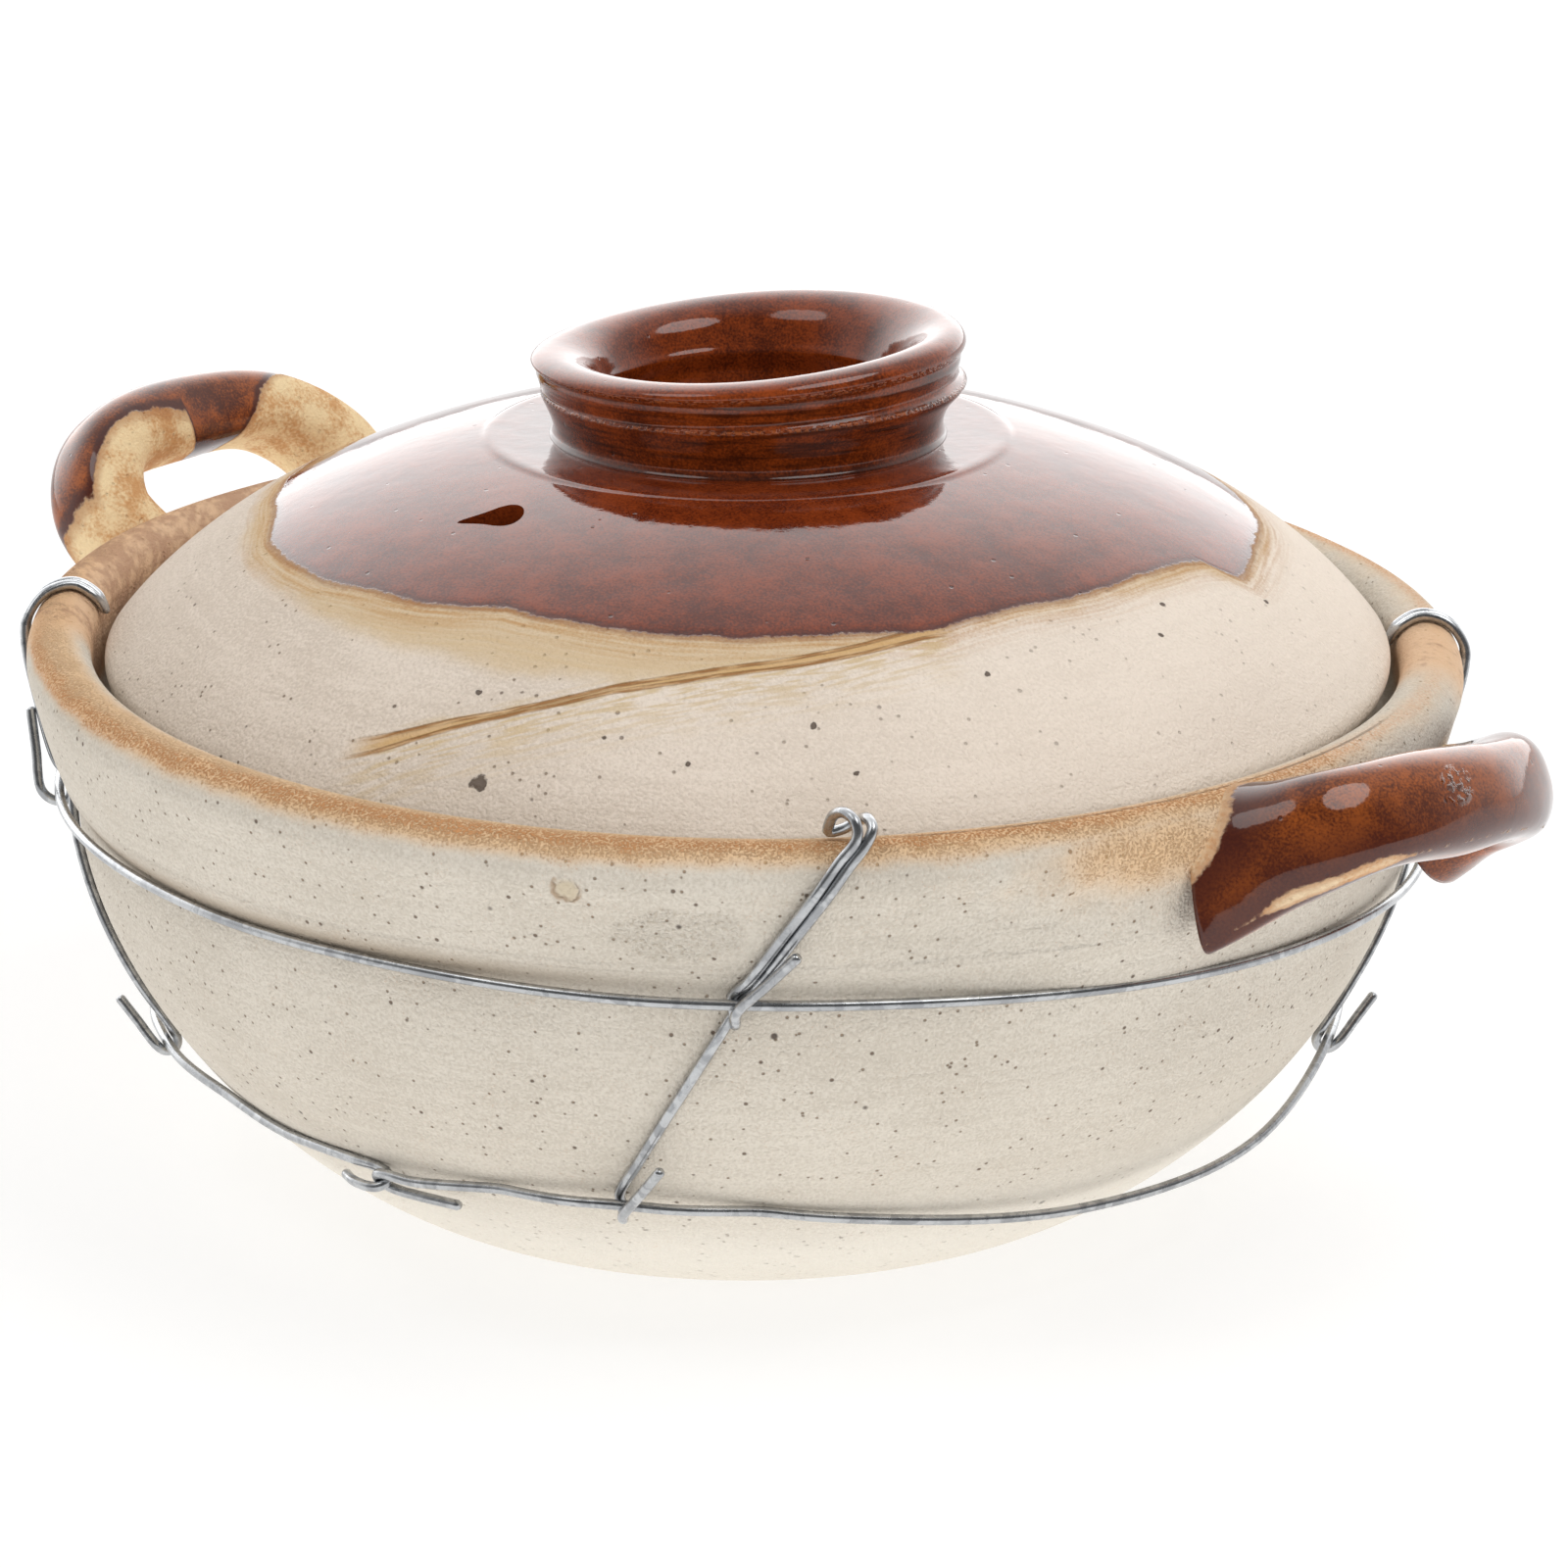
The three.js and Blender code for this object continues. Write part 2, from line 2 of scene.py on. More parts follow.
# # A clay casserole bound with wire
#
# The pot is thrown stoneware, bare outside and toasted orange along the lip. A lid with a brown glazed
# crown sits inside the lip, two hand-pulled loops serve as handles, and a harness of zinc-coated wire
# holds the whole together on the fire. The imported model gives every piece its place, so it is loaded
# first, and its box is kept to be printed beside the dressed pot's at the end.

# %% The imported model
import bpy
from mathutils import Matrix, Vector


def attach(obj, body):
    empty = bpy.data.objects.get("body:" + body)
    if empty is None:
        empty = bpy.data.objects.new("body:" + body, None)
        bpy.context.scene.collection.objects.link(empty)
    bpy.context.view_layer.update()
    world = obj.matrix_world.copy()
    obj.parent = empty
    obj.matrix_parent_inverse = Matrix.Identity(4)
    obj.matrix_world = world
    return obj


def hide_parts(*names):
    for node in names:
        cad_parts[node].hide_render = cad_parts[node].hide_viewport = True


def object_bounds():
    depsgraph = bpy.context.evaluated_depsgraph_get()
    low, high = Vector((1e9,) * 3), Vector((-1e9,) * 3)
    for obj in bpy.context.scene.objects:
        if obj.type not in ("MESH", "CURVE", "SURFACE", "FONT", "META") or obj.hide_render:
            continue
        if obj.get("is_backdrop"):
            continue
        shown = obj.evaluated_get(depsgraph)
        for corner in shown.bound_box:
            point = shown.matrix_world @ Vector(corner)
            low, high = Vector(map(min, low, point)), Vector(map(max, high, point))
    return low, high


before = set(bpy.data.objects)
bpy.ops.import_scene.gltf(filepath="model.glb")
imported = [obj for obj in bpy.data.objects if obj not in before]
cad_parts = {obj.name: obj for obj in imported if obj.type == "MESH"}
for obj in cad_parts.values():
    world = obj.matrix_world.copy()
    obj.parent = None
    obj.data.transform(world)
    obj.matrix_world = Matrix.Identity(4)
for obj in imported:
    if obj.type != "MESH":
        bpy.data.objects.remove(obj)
cad_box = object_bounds()
print("packed pieces:", sorted(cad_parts))

# %% [markdown]
# ## Tools
#
# Lengths below are in millimetres, as a potter would give them, and only the last step into the mesh turns
# them into metres. Heights are counted from the foot, and azimuths in degrees from the right handle,
# counter-clockwise as seen from above.

# %% Tools
import math
import bpy
import numpy as np
from mathutils import Matrix, Vector

MM = 0.001
scene = bpy.context.scene
scene.view_settings.view_transform = "Standard"
print("one millimetre is", MM, "of Blender's units")

# %% [markdown]
# ## Camera
#
# The lip, the disc of the lid and the foot are circles, and their ellipses give the camera's height,
# distance and lens. The pot's middle lies a little to the left of the picture's middle, so the lens is
# shifted rather than the camera turned: the camera then still looks straight at the pot's axis.

# %% Camera
CAMERA_PLACE = (389.2, -555.9, 291.4)
CAMERA_DIP, CAMERA_TURN = 18.86, 35
camera = bpy.data.objects.new("camera", bpy.data.cameras.new("camera"))
camera.data.lens = 100.16
camera.data.sensor_width = 36
camera.data.shift_x = 0.0246
camera.data.clip_start = 0.05
camera.location = [MM * c for c in CAMERA_PLACE]
camera.rotation_euler = (math.radians(90 - CAMERA_DIP), 0, math.radians(CAMERA_TURN))
scene.collection.objects.link(camera)
scene.camera = camera
print("camera at", CAMERA_PLACE)

# %% [markdown]
# ## Shader maths
#
# A finish is a small sum: so much toast here, so much grain there. Written as nodes it is hard to read, so
# one class wraps a socket and lets Python's own signs add the Math nodes, and another makes every other
# kind of node from its type, its settings and its sockets.


# %% Signals and paint
class Signal:
    """A socket that carries a value or a colour. Sums with it add Math nodes."""

    def __init__(self, paint, socket):
        self.paint = paint
        self.socket = socket

    def maths(self, operation, *values):
        """A Math node of an operation on this value and others."""
        return self.paint.node("Math", {"operation": operation}, dict(enumerate((self, *values))))

    def __add__(self, other):
        return self.maths("ADD", other)

    def __sub__(self, other):
        return self.maths("SUBTRACT", other)

    def __mul__(self, other):
        return self.maths("MULTIPLY", other)

    def __truediv__(self, other):
        return self.maths("DIVIDE", other)

    def __rsub__(self, other):
        return self.paint.node("Math", {"operation": "SUBTRACT"}, {0: other, 1: self})

    def __rtruediv__(self, other):
        return self.paint.node("Math", {"operation": "DIVIDE"}, {0: other, 1: self})

    __radd__ = __add__
    __rmul__ = __mul__

    def beside(self, output):
        """Another output of the node that this one comes from."""
        return Signal(self.paint, self.socket.node.outputs[output])


class Paint:
    """The nodes of one finish."""

    def __init__(self, tree):
        self.tree = tree
        tree.nodes.clear()

    def node(self, kind, settings, inputs, output=0):
        """A node of a kind, with its settings, then the values or links of its inputs. Returns an output."""
        made = self.tree.nodes.new("ShaderNode" + kind)
        for setting, value in settings.items():
            setattr(made, setting, value)
        for name, value in inputs.items():
            if isinstance(value, Signal):
                self.tree.links.new(value.socket, made.inputs[name])
            else:
                made.inputs[name].default_value = value
        return Signal(self, made.outputs[output]) if made.outputs else None


def coloured(red, green, blue):
    """A colour as the eye reads it, 0 to 255, as the light that shaders work in."""
    seen = np.array([red, green, blue]) / 255
    light = np.where(seen > 0.04045, ((seen + 0.055) / 1.055) ** 2.4, seen / 12.92)
    return (*light.tolist(), 1.0)


def new_paint(name):
    """A new material, and the paint for its nodes."""
    material = bpy.data.materials.new(name)
    material.use_nodes = True
    return material, Paint(material.node_tree)


print("signals and paint are ready")

# %% [markdown]
# ## Light and floor
#
# The pot stands in a white studio. White all around fills the shadows, one wide soft panel behind the pot
# lights its far side, and two at the front give the forms their roundness. The pale veil on the glaze is
# what it mirrors: a white that grows towards the back. A panel in its place would leave a hard edge on the
# dome, so the glaze doesn't see the one behind. The floor is pale, glows a little, as white paper lit from
# all sides does, and keeps the pot's shadow.

# %% World
WORLD_FILL = 0.62
BACK_SIDE = (-0.708, 0.707, 0)
world = bpy.data.worlds.new("studio")
world.use_nodes = True
scene.world = world
air = Paint(world.node_tree)


def seen_ray(paint):
    """1 for rays from the camera and for those that a glossy or clear surface sends on."""
    ray = paint.node("LightPath", {}, {}, "Is Camera Ray")
    glossy = ray.maths("MAXIMUM", ray.beside("Is Glossy Ray"))
    return glossy.maths("MAXIMUM", ray.beside("Is Transmission Ray"))


def between(signal, low, high):
    """0 at low, 1 at high and an S between. Low may be the larger one."""
    limits = {"Value": signal, "From Min": low, "From Max": high}
    return signal.paint.node("MapRange", {"interpolation_type": "SMOOTHSTEP"}, limits)


look = air.node("TexCoord", {}, {}, "Generated")
behind = air.node("VectorMath", {"operation": "DOT_PRODUCT"}, {0: look, 1: BACK_SIDE}, "Value")
backdrop = 0.1 + 0.85 * between(behind, -0.5, 0.26) + 1.75 * between(behind, 0.25, 0.85)
ray = air.node("LightPath", {}, {}, "Is Camera Ray")
glossy_ray = ray.beside("Is Glossy Ray")
fill = WORLD_FILL + (backdrop - WORLD_FILL) * glossy_ray
fill = fill + (1 - fill) * ray.maths("MAXIMUM", ray.beside("Is Transmission Ray"))
background = air.node("Background", {}, {"Color": (1, 1, 1, 1), "Strength": fill})
air.node("OutputWorld", {}, {"Surface": background})
print("world fill", WORLD_FILL)


# %% Softboxes
POT_MIDDLE = Vector((0, 0, 0.08))


def softbox(name, azimuth, elevation, distance, width, height, radiance, mirrored=True):
    """An oval panel that faces the pot. Its power is radiance times pi times its area. The glaze shows it
    if it is mirrored."""
    turn, rise = math.radians(azimuth), math.radians(elevation)
    flat = math.cos(rise)
    place = Vector((math.cos(turn) * flat, math.sin(turn) * flat, math.sin(rise))) * distance
    data = bpy.data.lights.new(name, "AREA")
    data.shape = "ELLIPSE"
    data.size, data.size_y = width, height
    data.energy = radiance * math.pi * (math.pi / 4 * width * height)
    panel = bpy.data.objects.new(name, data)
    panel.location = POT_MIDDLE + place
    panel.rotation_euler = (-place).to_track_quat("-Z", "Y").to_euler()
    panel.visible_camera = False
    panel.visible_glossy = mirrored
    scene.collection.objects.link(panel)
    print(name, "at azimuth", azimuth, "elevation", elevation)


softbox("panel_back", 125, 26, 1.5, 2.6, 0.7, 1.5, mirrored=False)
softbox("panel_right", 4, 60, 1.2, 0.8, 0.65, 3.35)
softbox("panel_left", -116, 58, 1.3, 0.65, 0.55, 2.15)

# %% Floor
FLOOR_HALF, FLOOR_Z = 4.0, -0.0002
mesh = bpy.data.meshes.new("floor")
corners = [(-1, -1), (1, -1), (1, 1), (-1, 1)]
mesh.from_pydata([(x * FLOOR_HALF, y * FLOOR_HALF, FLOOR_Z) for x, y in corners], [], [(0, 1, 2, 3)])
floor = bpy.data.objects.new("floor", mesh)
scene.collection.objects.link(floor)
material, paint = new_paint("pale_floor")
lift = seen_ray(paint)
bounce = 0.85 - 0.35 * lift
shade = paint.node("CombineColor", {}, {0: bounce, 1: bounce, 2: bounce})
matt = paint.node("BsdfDiffuse", {}, {"Color": shade})
glow = paint.node("Emission", {}, {"Color": (1, 1, 1, 1), "Strength": 0.6 - lift * 0.02})
paint.node("OutputMaterial", {}, {"Surface": paint.node("AddShader", {}, {0: matt, 1: glow})})
mesh.materials.append(material)
floor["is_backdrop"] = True
print("floor", 2 * FLOOR_HALF, "m wide")

# %% [markdown]
# ## Surfaces
#
# Everything on a pot is either turned or pulled: a turned piece is an outline swept round the axis, and a
# pulled one a section carried along a path. Both are grids of points, so one function makes the mesh for
# all of them: it closes the columns, and either closes the rows to a ring or caps them with a point.


# %% Lines
def evenly(line, step):
    """The same line with points a step apart: each coordinate read off against the length run so far."""
    line = np.asarray(line, float)
    run = np.concatenate([[0], np.cumsum(np.linalg.norm(np.diff(line, axis=0), axis=1))])
    marks = np.linspace(0, run[-1], max(2, math.ceil(run[-1] / step) + 1))
    return np.stack([np.interp(marks, run, c) for c in line.T], axis=1)


def bezier(points, count=80):
    """A Bezier curve: the control points weighted by their Bernstein shares of t."""
    points = np.asarray(points, float)
    last = len(points) - 1
    t = np.linspace(0, 1, count)[:, None]
    return sum(math.comb(last, k) * t**k * (1 - t) ** (last - k) * p for k, p in enumerate(points))


def arc(centre, size, start, end, count=60):
    """A round: centre plus size times cosine and sine, from one angle to another, in degrees."""
    turn = np.radians(np.linspace(start, end, count))
    return np.stack([centre[0] + size * np.cos(turn), centre[1] + size * np.sin(turn)], axis=1)


def smooth(points, step, closed=False):
    """A centripetal Catmull-Rom curve through the points: between two of them a cubic whose end slopes
    come from their neighbours, weighed by the square roots of the distances."""
    points = np.asarray(points, float)
    if closed:
        padded = np.vstack([points[-1:], points, points[:2]])
    else:
        padded = np.vstack([2 * points[0] - points[1], points, 2 * points[-1] - points[-2]])
    before, start, end, after = padded[:-3], padded[1:-2], padded[2:-1], padded[3:]
    pairs = (before, start), (start, end), (end, after)
    d0, d1, d2 = (np.sqrt(np.linalg.norm(b - a, axis=1, keepdims=True) + 1e-9) for a, b in pairs)
    leave = d1 * ((start - before) / d0 - (end - before) / (d0 + d1) + (end - start) / d1)
    reach = d1 * ((end - start) / d1 - (after - start) / (d1 + d2) + (after - end) / d2)
    u = np.linspace(0, 1, 24, endpoint=False)[:, None, None]
    curve = (2 * u**3 - 3 * u**2 + 1) * start + (u**3 - 2 * u**2 + u) * leave
    curve = curve + (3 * u**2 - 2 * u**3) * end + (u**3 - u**2) * reach
    line = curve.transpose(1, 0, 2).reshape(-1, points.shape[1])
    return evenly(np.vstack([line, points[:1] if closed else points[-1:]]), step)


def joined(*lines):
    """Lines end to end, without the points they share."""
    return np.vstack([lines[0], *(line[1:] for line in lines[1:])])


print("line tools are ready")


# %% Grids
def turned(outline, columns):
    """An outline swept round the axis: x and y are the radius times cosine and sine of the azimuth.
    Returns radius, azimuth in radians and height, each as rows along the outline by columns round it."""
    azimuth = np.linspace(-math.pi, math.pi, columns, endpoint=False)
    radius, height = (np.repeat(c[:, None], columns, axis=1) for c in np.asarray(outline).T)
    return radius, np.broadcast_to(azimuth, radius.shape), height


def placed(radius, azimuth, height):
    """Points from radius, azimuth and height: x and y are the radius times cosine and sine."""
    return np.stack([radius * np.cos(azimuth), radius * np.sin(azimuth), height], axis=-1)


def skin(name, grid, ring=False):
    """A closed mesh over a grid of points: four-sided faces between neighbours, columns closed. The rows
    close too for a ring; otherwise a point in the middle of the first and of the last row closes them."""
    rows, columns, _ = grid.shape
    index = np.arange(rows * columns).reshape(rows, columns)
    across = np.roll(index, -1, axis=1)
    ups = np.roll(index, -1, axis=0), np.roll(across, -1, axis=0)
    last = rows if ring else rows - 1
    quads = np.stack([index, across, ups[1], ups[0]], axis=-1)[:last].reshape(-1, 4)
    points, faces = grid.reshape(-1, 3), quads.tolist()
    if not ring:
        tip = np.full(columns, rows * columns)
        points = np.vstack([points, grid[0].mean(axis=0), grid[-1].mean(axis=0)])
        faces += np.stack([tip, across[0], index[0]], axis=-1).tolist()
        faces += np.stack([tip + 1, index[-1], across[-1]], axis=-1).tolist()
    mesh = bpy.data.meshes.new(name)
    mesh.from_pydata((points * MM).tolist(), [], faces)
    mesh.shade_smooth()
    piece = bpy.data.objects.new(name, mesh)
    scene.collection.objects.link(piece)
    return piece


print("grid tools are ready")


# %% Fields and places
def field(piece, name, values):
    """A number at each point of the mesh, for the finish to read."""
    layer = piece.data.attributes.new(name, "FLOAT", "POINT")
    layer.data.foreach_set("value", np.ascontiguousarray(values, np.float32).ravel())


def points_of(piece):
    """The mesh's points in mm, as azimuth in degrees, radius, height."""
    flat = np.empty(len(piece.data.vertices) * 3, np.float32)
    piece.data.vertices.foreach_get("co", flat)
    x, y, z = flat.reshape(-1, 3).T / MM
    return np.degrees(np.arctan2(y, x)), np.hypot(x, y), z


def settled(piece, body, node):
    """The piece stands for its CAD node, whose part is hidden, and moves with its body."""
    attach(piece, body)
    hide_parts(node)
    print(piece.name, len(piece.data.polygons), "faces")


def rising(values, start, end):
    """0 before start, 1 after end, and an S between."""
    share = np.clip((np.asarray(values, float) - start) / (end - start), 0, 1)
    return share * share * (3 - 2 * share)


def stretch(values, start, full, fade, end):
    """1 from full to fade, 0 before start and after end, and an S between."""
    return rising(values, start, full) * (1 - rising(values, fade, end))


def read_round(table, azimuth):
    """A table of azimuths and values round the pot, read at any azimuth."""
    return np.interp(azimuth, *zip(*table), period=360)


print("field tools are ready")

# %% [markdown]
# ## Pot
#
# The pot is thrown: a wide bowl on a flat foot, a small ledge where the tool pressed, a band that leans
# out, and a fat round lip with a seat for the lid inside. A modifier such as Screw could spin the outline,
# but as a grid the wall can also be uneven, as a thrown wall is: the ledge fades towards the right, where
# the clay was pressed in luting the handle on.

# %% Pot outline
LIP_RADIUS, LIP_Z, LIP_SIZE = 115.4, 82.6, 5.1
LIP_CENTRE = LIP_RADIUS - LIP_SIZE
SHOULDER = (108.4, 64.0)
LEDGE = (110.8, 69.2)
SEAT_Z = 81.6

foot = evenly([(1.5, 0), (61.5, 0)], 3)
bowl = evenly(bezier([(61.5, 0), (72.5, 0), (SHOULDER[0], 32), SHOULDER]), 0.9)
ledge = evenly(bezier([SHOULDER, (SHOULDER[0], 66.6), (109.8, 67), LEDGE]), 0.4)
lip = evenly(arc((LIP_CENTRE, LIP_Z), LIP_SIZE, -18, 176), 0.55)
band = evenly(smooth([LEDGE, (112.1, 72.4), (113.9, 77.5), lip[0]], 0.2), 0.7)
groove = [lip[-1], (105.2, 80.6), (104.8, 77.6), (103.6, 76), (102.2, 77.2), (101.5, 80), (100.9, 81.3)]
seat = evenly(smooth([*groove, (100, SEAT_Z), (99.1, 81), (98.9, 78)], 0.2), 0.6)
inner_bowl = bezier([(100.9, 64), (100.9, 32), (68.75, 8), (57.75, 8)])
inside = evenly(joined([(98.9, 78), (100.9, 64)], inner_bowl), 2.2)
bottom = evenly([(57.75, 8), (1.5, 8)], 5)
outer = joined(bowl, ledge, band, lip[: len(lip) // 3])
below_lip = joined(foot, bowl, ledge, band)
outline = joined(below_lip, lip, seat, inside, bottom)
print("outline", len(outline), "points")


# %% Pot wall
def wall(height):
    """Radius of the wall outside, at a height, read off the outline."""
    rise = outer[:, 1]
    return np.interp(height, rise[: rise.argmax()], outer[: rise.argmax(), 0])


def uneven(azimuth, height):
    """How far the wall stands out from the true turned one. Between two heights the ledge gives way to a
    straight slope on the right; bells in azimuth and height are the swelling at the handle's foot and
    the dent and slanting fold beside it; two slow waves are the hand's wobble."""
    low, high = 57.0, 78.0
    share = np.clip((height - low) / (high - low), 0, 1)
    straight = wall(low) + (wall(high) - wall(low)) * share**1.15 - wall(np.clip(height, low, high))
    pressed = stretch(azimuth, -58, -14, 95, 140)
    swelling = 1.9 * np.exp(-(((azimuth + 24) / 9) ** 2) - ((height - 70) / 8) ** 2)
    dent = -1.4 * np.exp(-(((azimuth + 38) / 5) ** 2) - ((height - 75) / 5) ** 2)
    fold = 1.0 * np.exp(-(((azimuth + 31 + 0.57 * (82 - height)) / 1.5) ** 2) - ((height - 78) / 4) ** 2)
    turn = np.radians(azimuth)
    wobble = 0.35 * np.sin(2 * turn + 0.6) + 0.2 * np.sin(5 * turn + height / 14)
    belly = stretch(height, 4, 25, 74, 82)
    return pressed * straight + (swelling + dent + fold) * (1 - rising(height, 80, 84)) + wobble * belly


RIM = [(-180, 4.3), (-165, 4.7), (-150, 4.6), (-130, 3.7), (-110, 2.9), (-90, 2.2), (-70, 1.6)]
RIM += [(-50, 1.2), (-20, 1.1), (0, 0.8), (30, 0.3), (60, 0.1), (90, 0.9), (120, 2.4), (150, 3.7)]


def rim_rise(azimuth, height):
    """How far the wall is drawn up: the table's value at the lip, down to nothing at the ledge."""
    return read_round(RIM, azimuth) * np.clip((height - LEDGE[1]) / (LIP_Z - LEDGE[1]), 0, 1)


print("the lip is drawn up by as much as", max(rise for _, rise in RIM), "mm")

# %% Pot surface
COLUMNS = 320
radius, azimuth, height = turned(outline, COLUMNS)
row = np.arange(len(outline))[:, None]
outside_rows = len(joined(below_lip, lip[: len(lip) // 2]))
lip_rows = len(joined(below_lip, lip))
eased = np.where(row < lip_rows, 1, np.clip(1 - (row - lip_rows) / 4, 0, 1))
degrees = np.degrees(azimuth)
radius = radius + np.where(row < outside_rows, uneven(degrees, height), 0)
pot_body = skin("pot_body_thrown", placed(radius, azimuth, height + eased * rim_rise(degrees, height)))
settled(pot_body, "pot", "pot_body")

# %% [markdown]
# ## Where the fire marked the pot
#
# Flame and smoke reached the lip unevenly. Each mark is a number at every point of the mesh: the way down
# from the crest of the lip, the toast and its deepest line, the smoke, a painted shade under the ledge and
# the glaze inside. The finish reads them, because a mark that follows the wall is hard to place with noise.

# %% Pot fields
turn, _, height = points_of(pot_body)
run = np.cumsum(np.linalg.norm(np.diff(outline, axis=0, prepend=outline[:1]), axis=1))
fall = run[outline[:, 1].argmax()] - run
below = np.append(np.repeat(fall, COLUMNS), [fall[0], fall[-1]])
field(pot_body, "below", below)
toast_round = [(-180, 0.2), (-150, 0.8), (-130, 0.95), (-112, 0.9), (-95, 0.95), (-70, 1), (-50, 0.85)]
toast_round += [(-35, 0.8), (-18, 0.75), (0, 0.35), (25, 0.22), (60, 0.5), (120, 0.4), (160, 0.2)]
toasted = read_round(toast_round, turn) * stretch(below, -6, 2.0, 2.4, 7.5)
patch = 0.78 * np.exp(-(((turn + 24) / 10) ** 2) - ((below - 8) / 6.5) ** 2)
field(pot_body, "toast", np.maximum(toasted, np.where(below > -3, patch, 0)))
deepest = np.interp(turn, [-160, -125, -80, -45], [3.8, 4.0, 1.8, 1.2])
field(pot_body, "from_deepest", below - deepest)
smoky = [(-180, 1), (-155, 1), (-142, 0.8), (-132, 0), (-60, 0), (14, 0), (24, 0.5), (32, 0.5), (42, 0)]
smoky += [(110, 0), (150, 0.9)]
field(pot_body, "scorch", read_round(smoky, turn) * stretch(below, -15, -8, 6, 11))
print("toast on", int((toasted > 0.5).sum()), "points")

# %% Pot marks
# Painted shade: a band just below the ledge, on the left, where its underside would fall in shade.
under_ledge = np.exp(-(((height - 67.0) / 1.9) ** 2)) * stretch(turn, -155, -135, -80, -55)
field(pot_body, "ledge_shade", np.where(below > 0, under_ledge, 0))
crease = np.exp(-(((height - 69.5) / 0.55) ** 2)) * stretch(turn, -160, -140, -30, -18)
field(pot_body, "crease", np.where(below > 0, crease, 0))
pressed = stretch(turn, -62, -35, -2, 12) * rising(height, 52, 62)
field(pot_body, "pressed", np.where(below > 0, pressed, 0))
seat_end = len(joined(below_lip, lip, seat)) - 1
within = below < fall[seat_end] + 1.5
field(pot_body, "glazed_inside", np.where(within, np.minimum(9, 79.5 - height), -9))
print("glaze inside on", int(within.sum()), "points")

# %% [markdown]
# ## Lid
#
# The lid is turned too: a rolled edge, a swelling slope and a thin flat disc under the knob. The steam hole
# was pushed through the wet clay with a stick from one side, so it is a drop rather than a round. A Boolean
# with a drop-shaped rod cuts it, because a hole doesn't fit a grid of rings.

# %% Lid outline
LID_FOOT, EDGE_SIZE, EDGE_CENTRE = 81.75, 3.5, 100.0
DISC_RADIUS, DISC_Z, LID_WALL = 42.5, 119.4, 7.0
EDGE_TURN, BULGE = 40.0, 6.2
edge = arc((EDGE_CENTRE, LID_FOOT + EDGE_SIZE), EDGE_SIZE, -90, EDGE_TURN)
slope_foot = edge[-1]
slope_top = np.array([DISC_RADIUS, DISC_Z - 0.45])
slope = (slope_foot - slope_top) / np.linalg.norm(slope_foot - slope_top)
upwards = np.array([-slope[1], slope[0]])
pull = slope_top + 0.58 * (slope_foot - slope_top) + 2 * BULGE * upwards
dome = bezier([slope_foot, pull, slope_top])
crown = smooth([slope_top, (42.0, DISC_Z - 0.18), (41.2, DISC_Z - 0.02), (39, DISC_Z), (30, DISC_Z)], 0.3)
under = joined([(1.5, DISC_Z - LID_WALL), (40, DISC_Z - LID_WALL)], (dome - LID_WALL * upwards)[:0:-6])
rest_ring = evenly([under[-1], (94.6, LID_FOOT), (EDGE_CENTRE, LID_FOOT)], 1.5)
disc = evenly([(30, DISC_Z), (1.5, DISC_Z)], 4)
upper_side = joined(evenly(edge, 0.6), evenly(dome, 0.75), evenly(crown, 0.4), disc)
lid_outline = joined(evenly(under, 3), rest_ring, upper_side)
radius, azimuth, height = turned(lid_outline, COLUMNS)
roll = 0.4 * np.sin(3 * azimuth + 1) * stretch(height, 88, 100, 112, 119)
lid = skin("lid_turned", placed(radius, azimuth, height + roll))
print("lid outline", len(lid_outline), "points")


# %% Steam hole
def drop_rod(azimuth, distance, low, high):
    """A rod whose section is a drop: a round whose far side is drawn out into a tail along the slope."""
    theta = np.linspace(0, 2 * math.pi, 48, endpoint=False)
    tail = np.exp(-(((theta - math.pi) / 0.6) ** 2))
    along = 3.3 * np.cos(theta) * (1 + 1.1 * tail)
    aside = 4.2 * np.sin(theta) * (0.8 + 0.2 * np.cos(theta))
    turn = math.radians(azimuth)
    middle = distance * np.array([math.cos(turn), math.sin(turn)])
    slant = turn + math.radians(129)
    sideways = np.array([math.cos(slant), math.sin(slant)])
    outwards = np.array([math.sin(slant), -math.cos(slant)])
    flat = middle + along[:, None] * sideways - aside[:, None] * outwards
    rows = [np.column_stack([flat, np.full(len(flat), z)]) for z in (low, high)]
    return skin("drop_rod", np.stack(rows))


HOLE = (-97.5, 55.0)
rod = drop_rod(*HOLE, 90, 130)
cut = lid.modifiers.new("steam_hole", "BOOLEAN")
cut.operation, cut.solver, cut.object = "DIFFERENCE", "EXACT", rod
bpy.context.view_layer.update()
pierced = bpy.data.meshes.new_from_object(lid.evaluated_get(bpy.context.evaluated_depsgraph_get()))
lid.modifiers.clear()
lid.data = pierced
bpy.data.objects.remove(rod)
pierced.shade_smooth()
pierced.set_sharp_from_angle(angle=math.radians(60))
settled(lid, "lid", "lid")

# %% [markdown]
# ## Where the glaze runs
#
# The crown was dipped, so the glaze ends on an almost level line. Below it the wiped clay keeps an ochre
# veil, and one stroke of the sponge left a long streak. These edges are tables of azimuth and radius; the
# mesh stores the distance to each edge, and the finish turns that into a crisp line with its own grain.

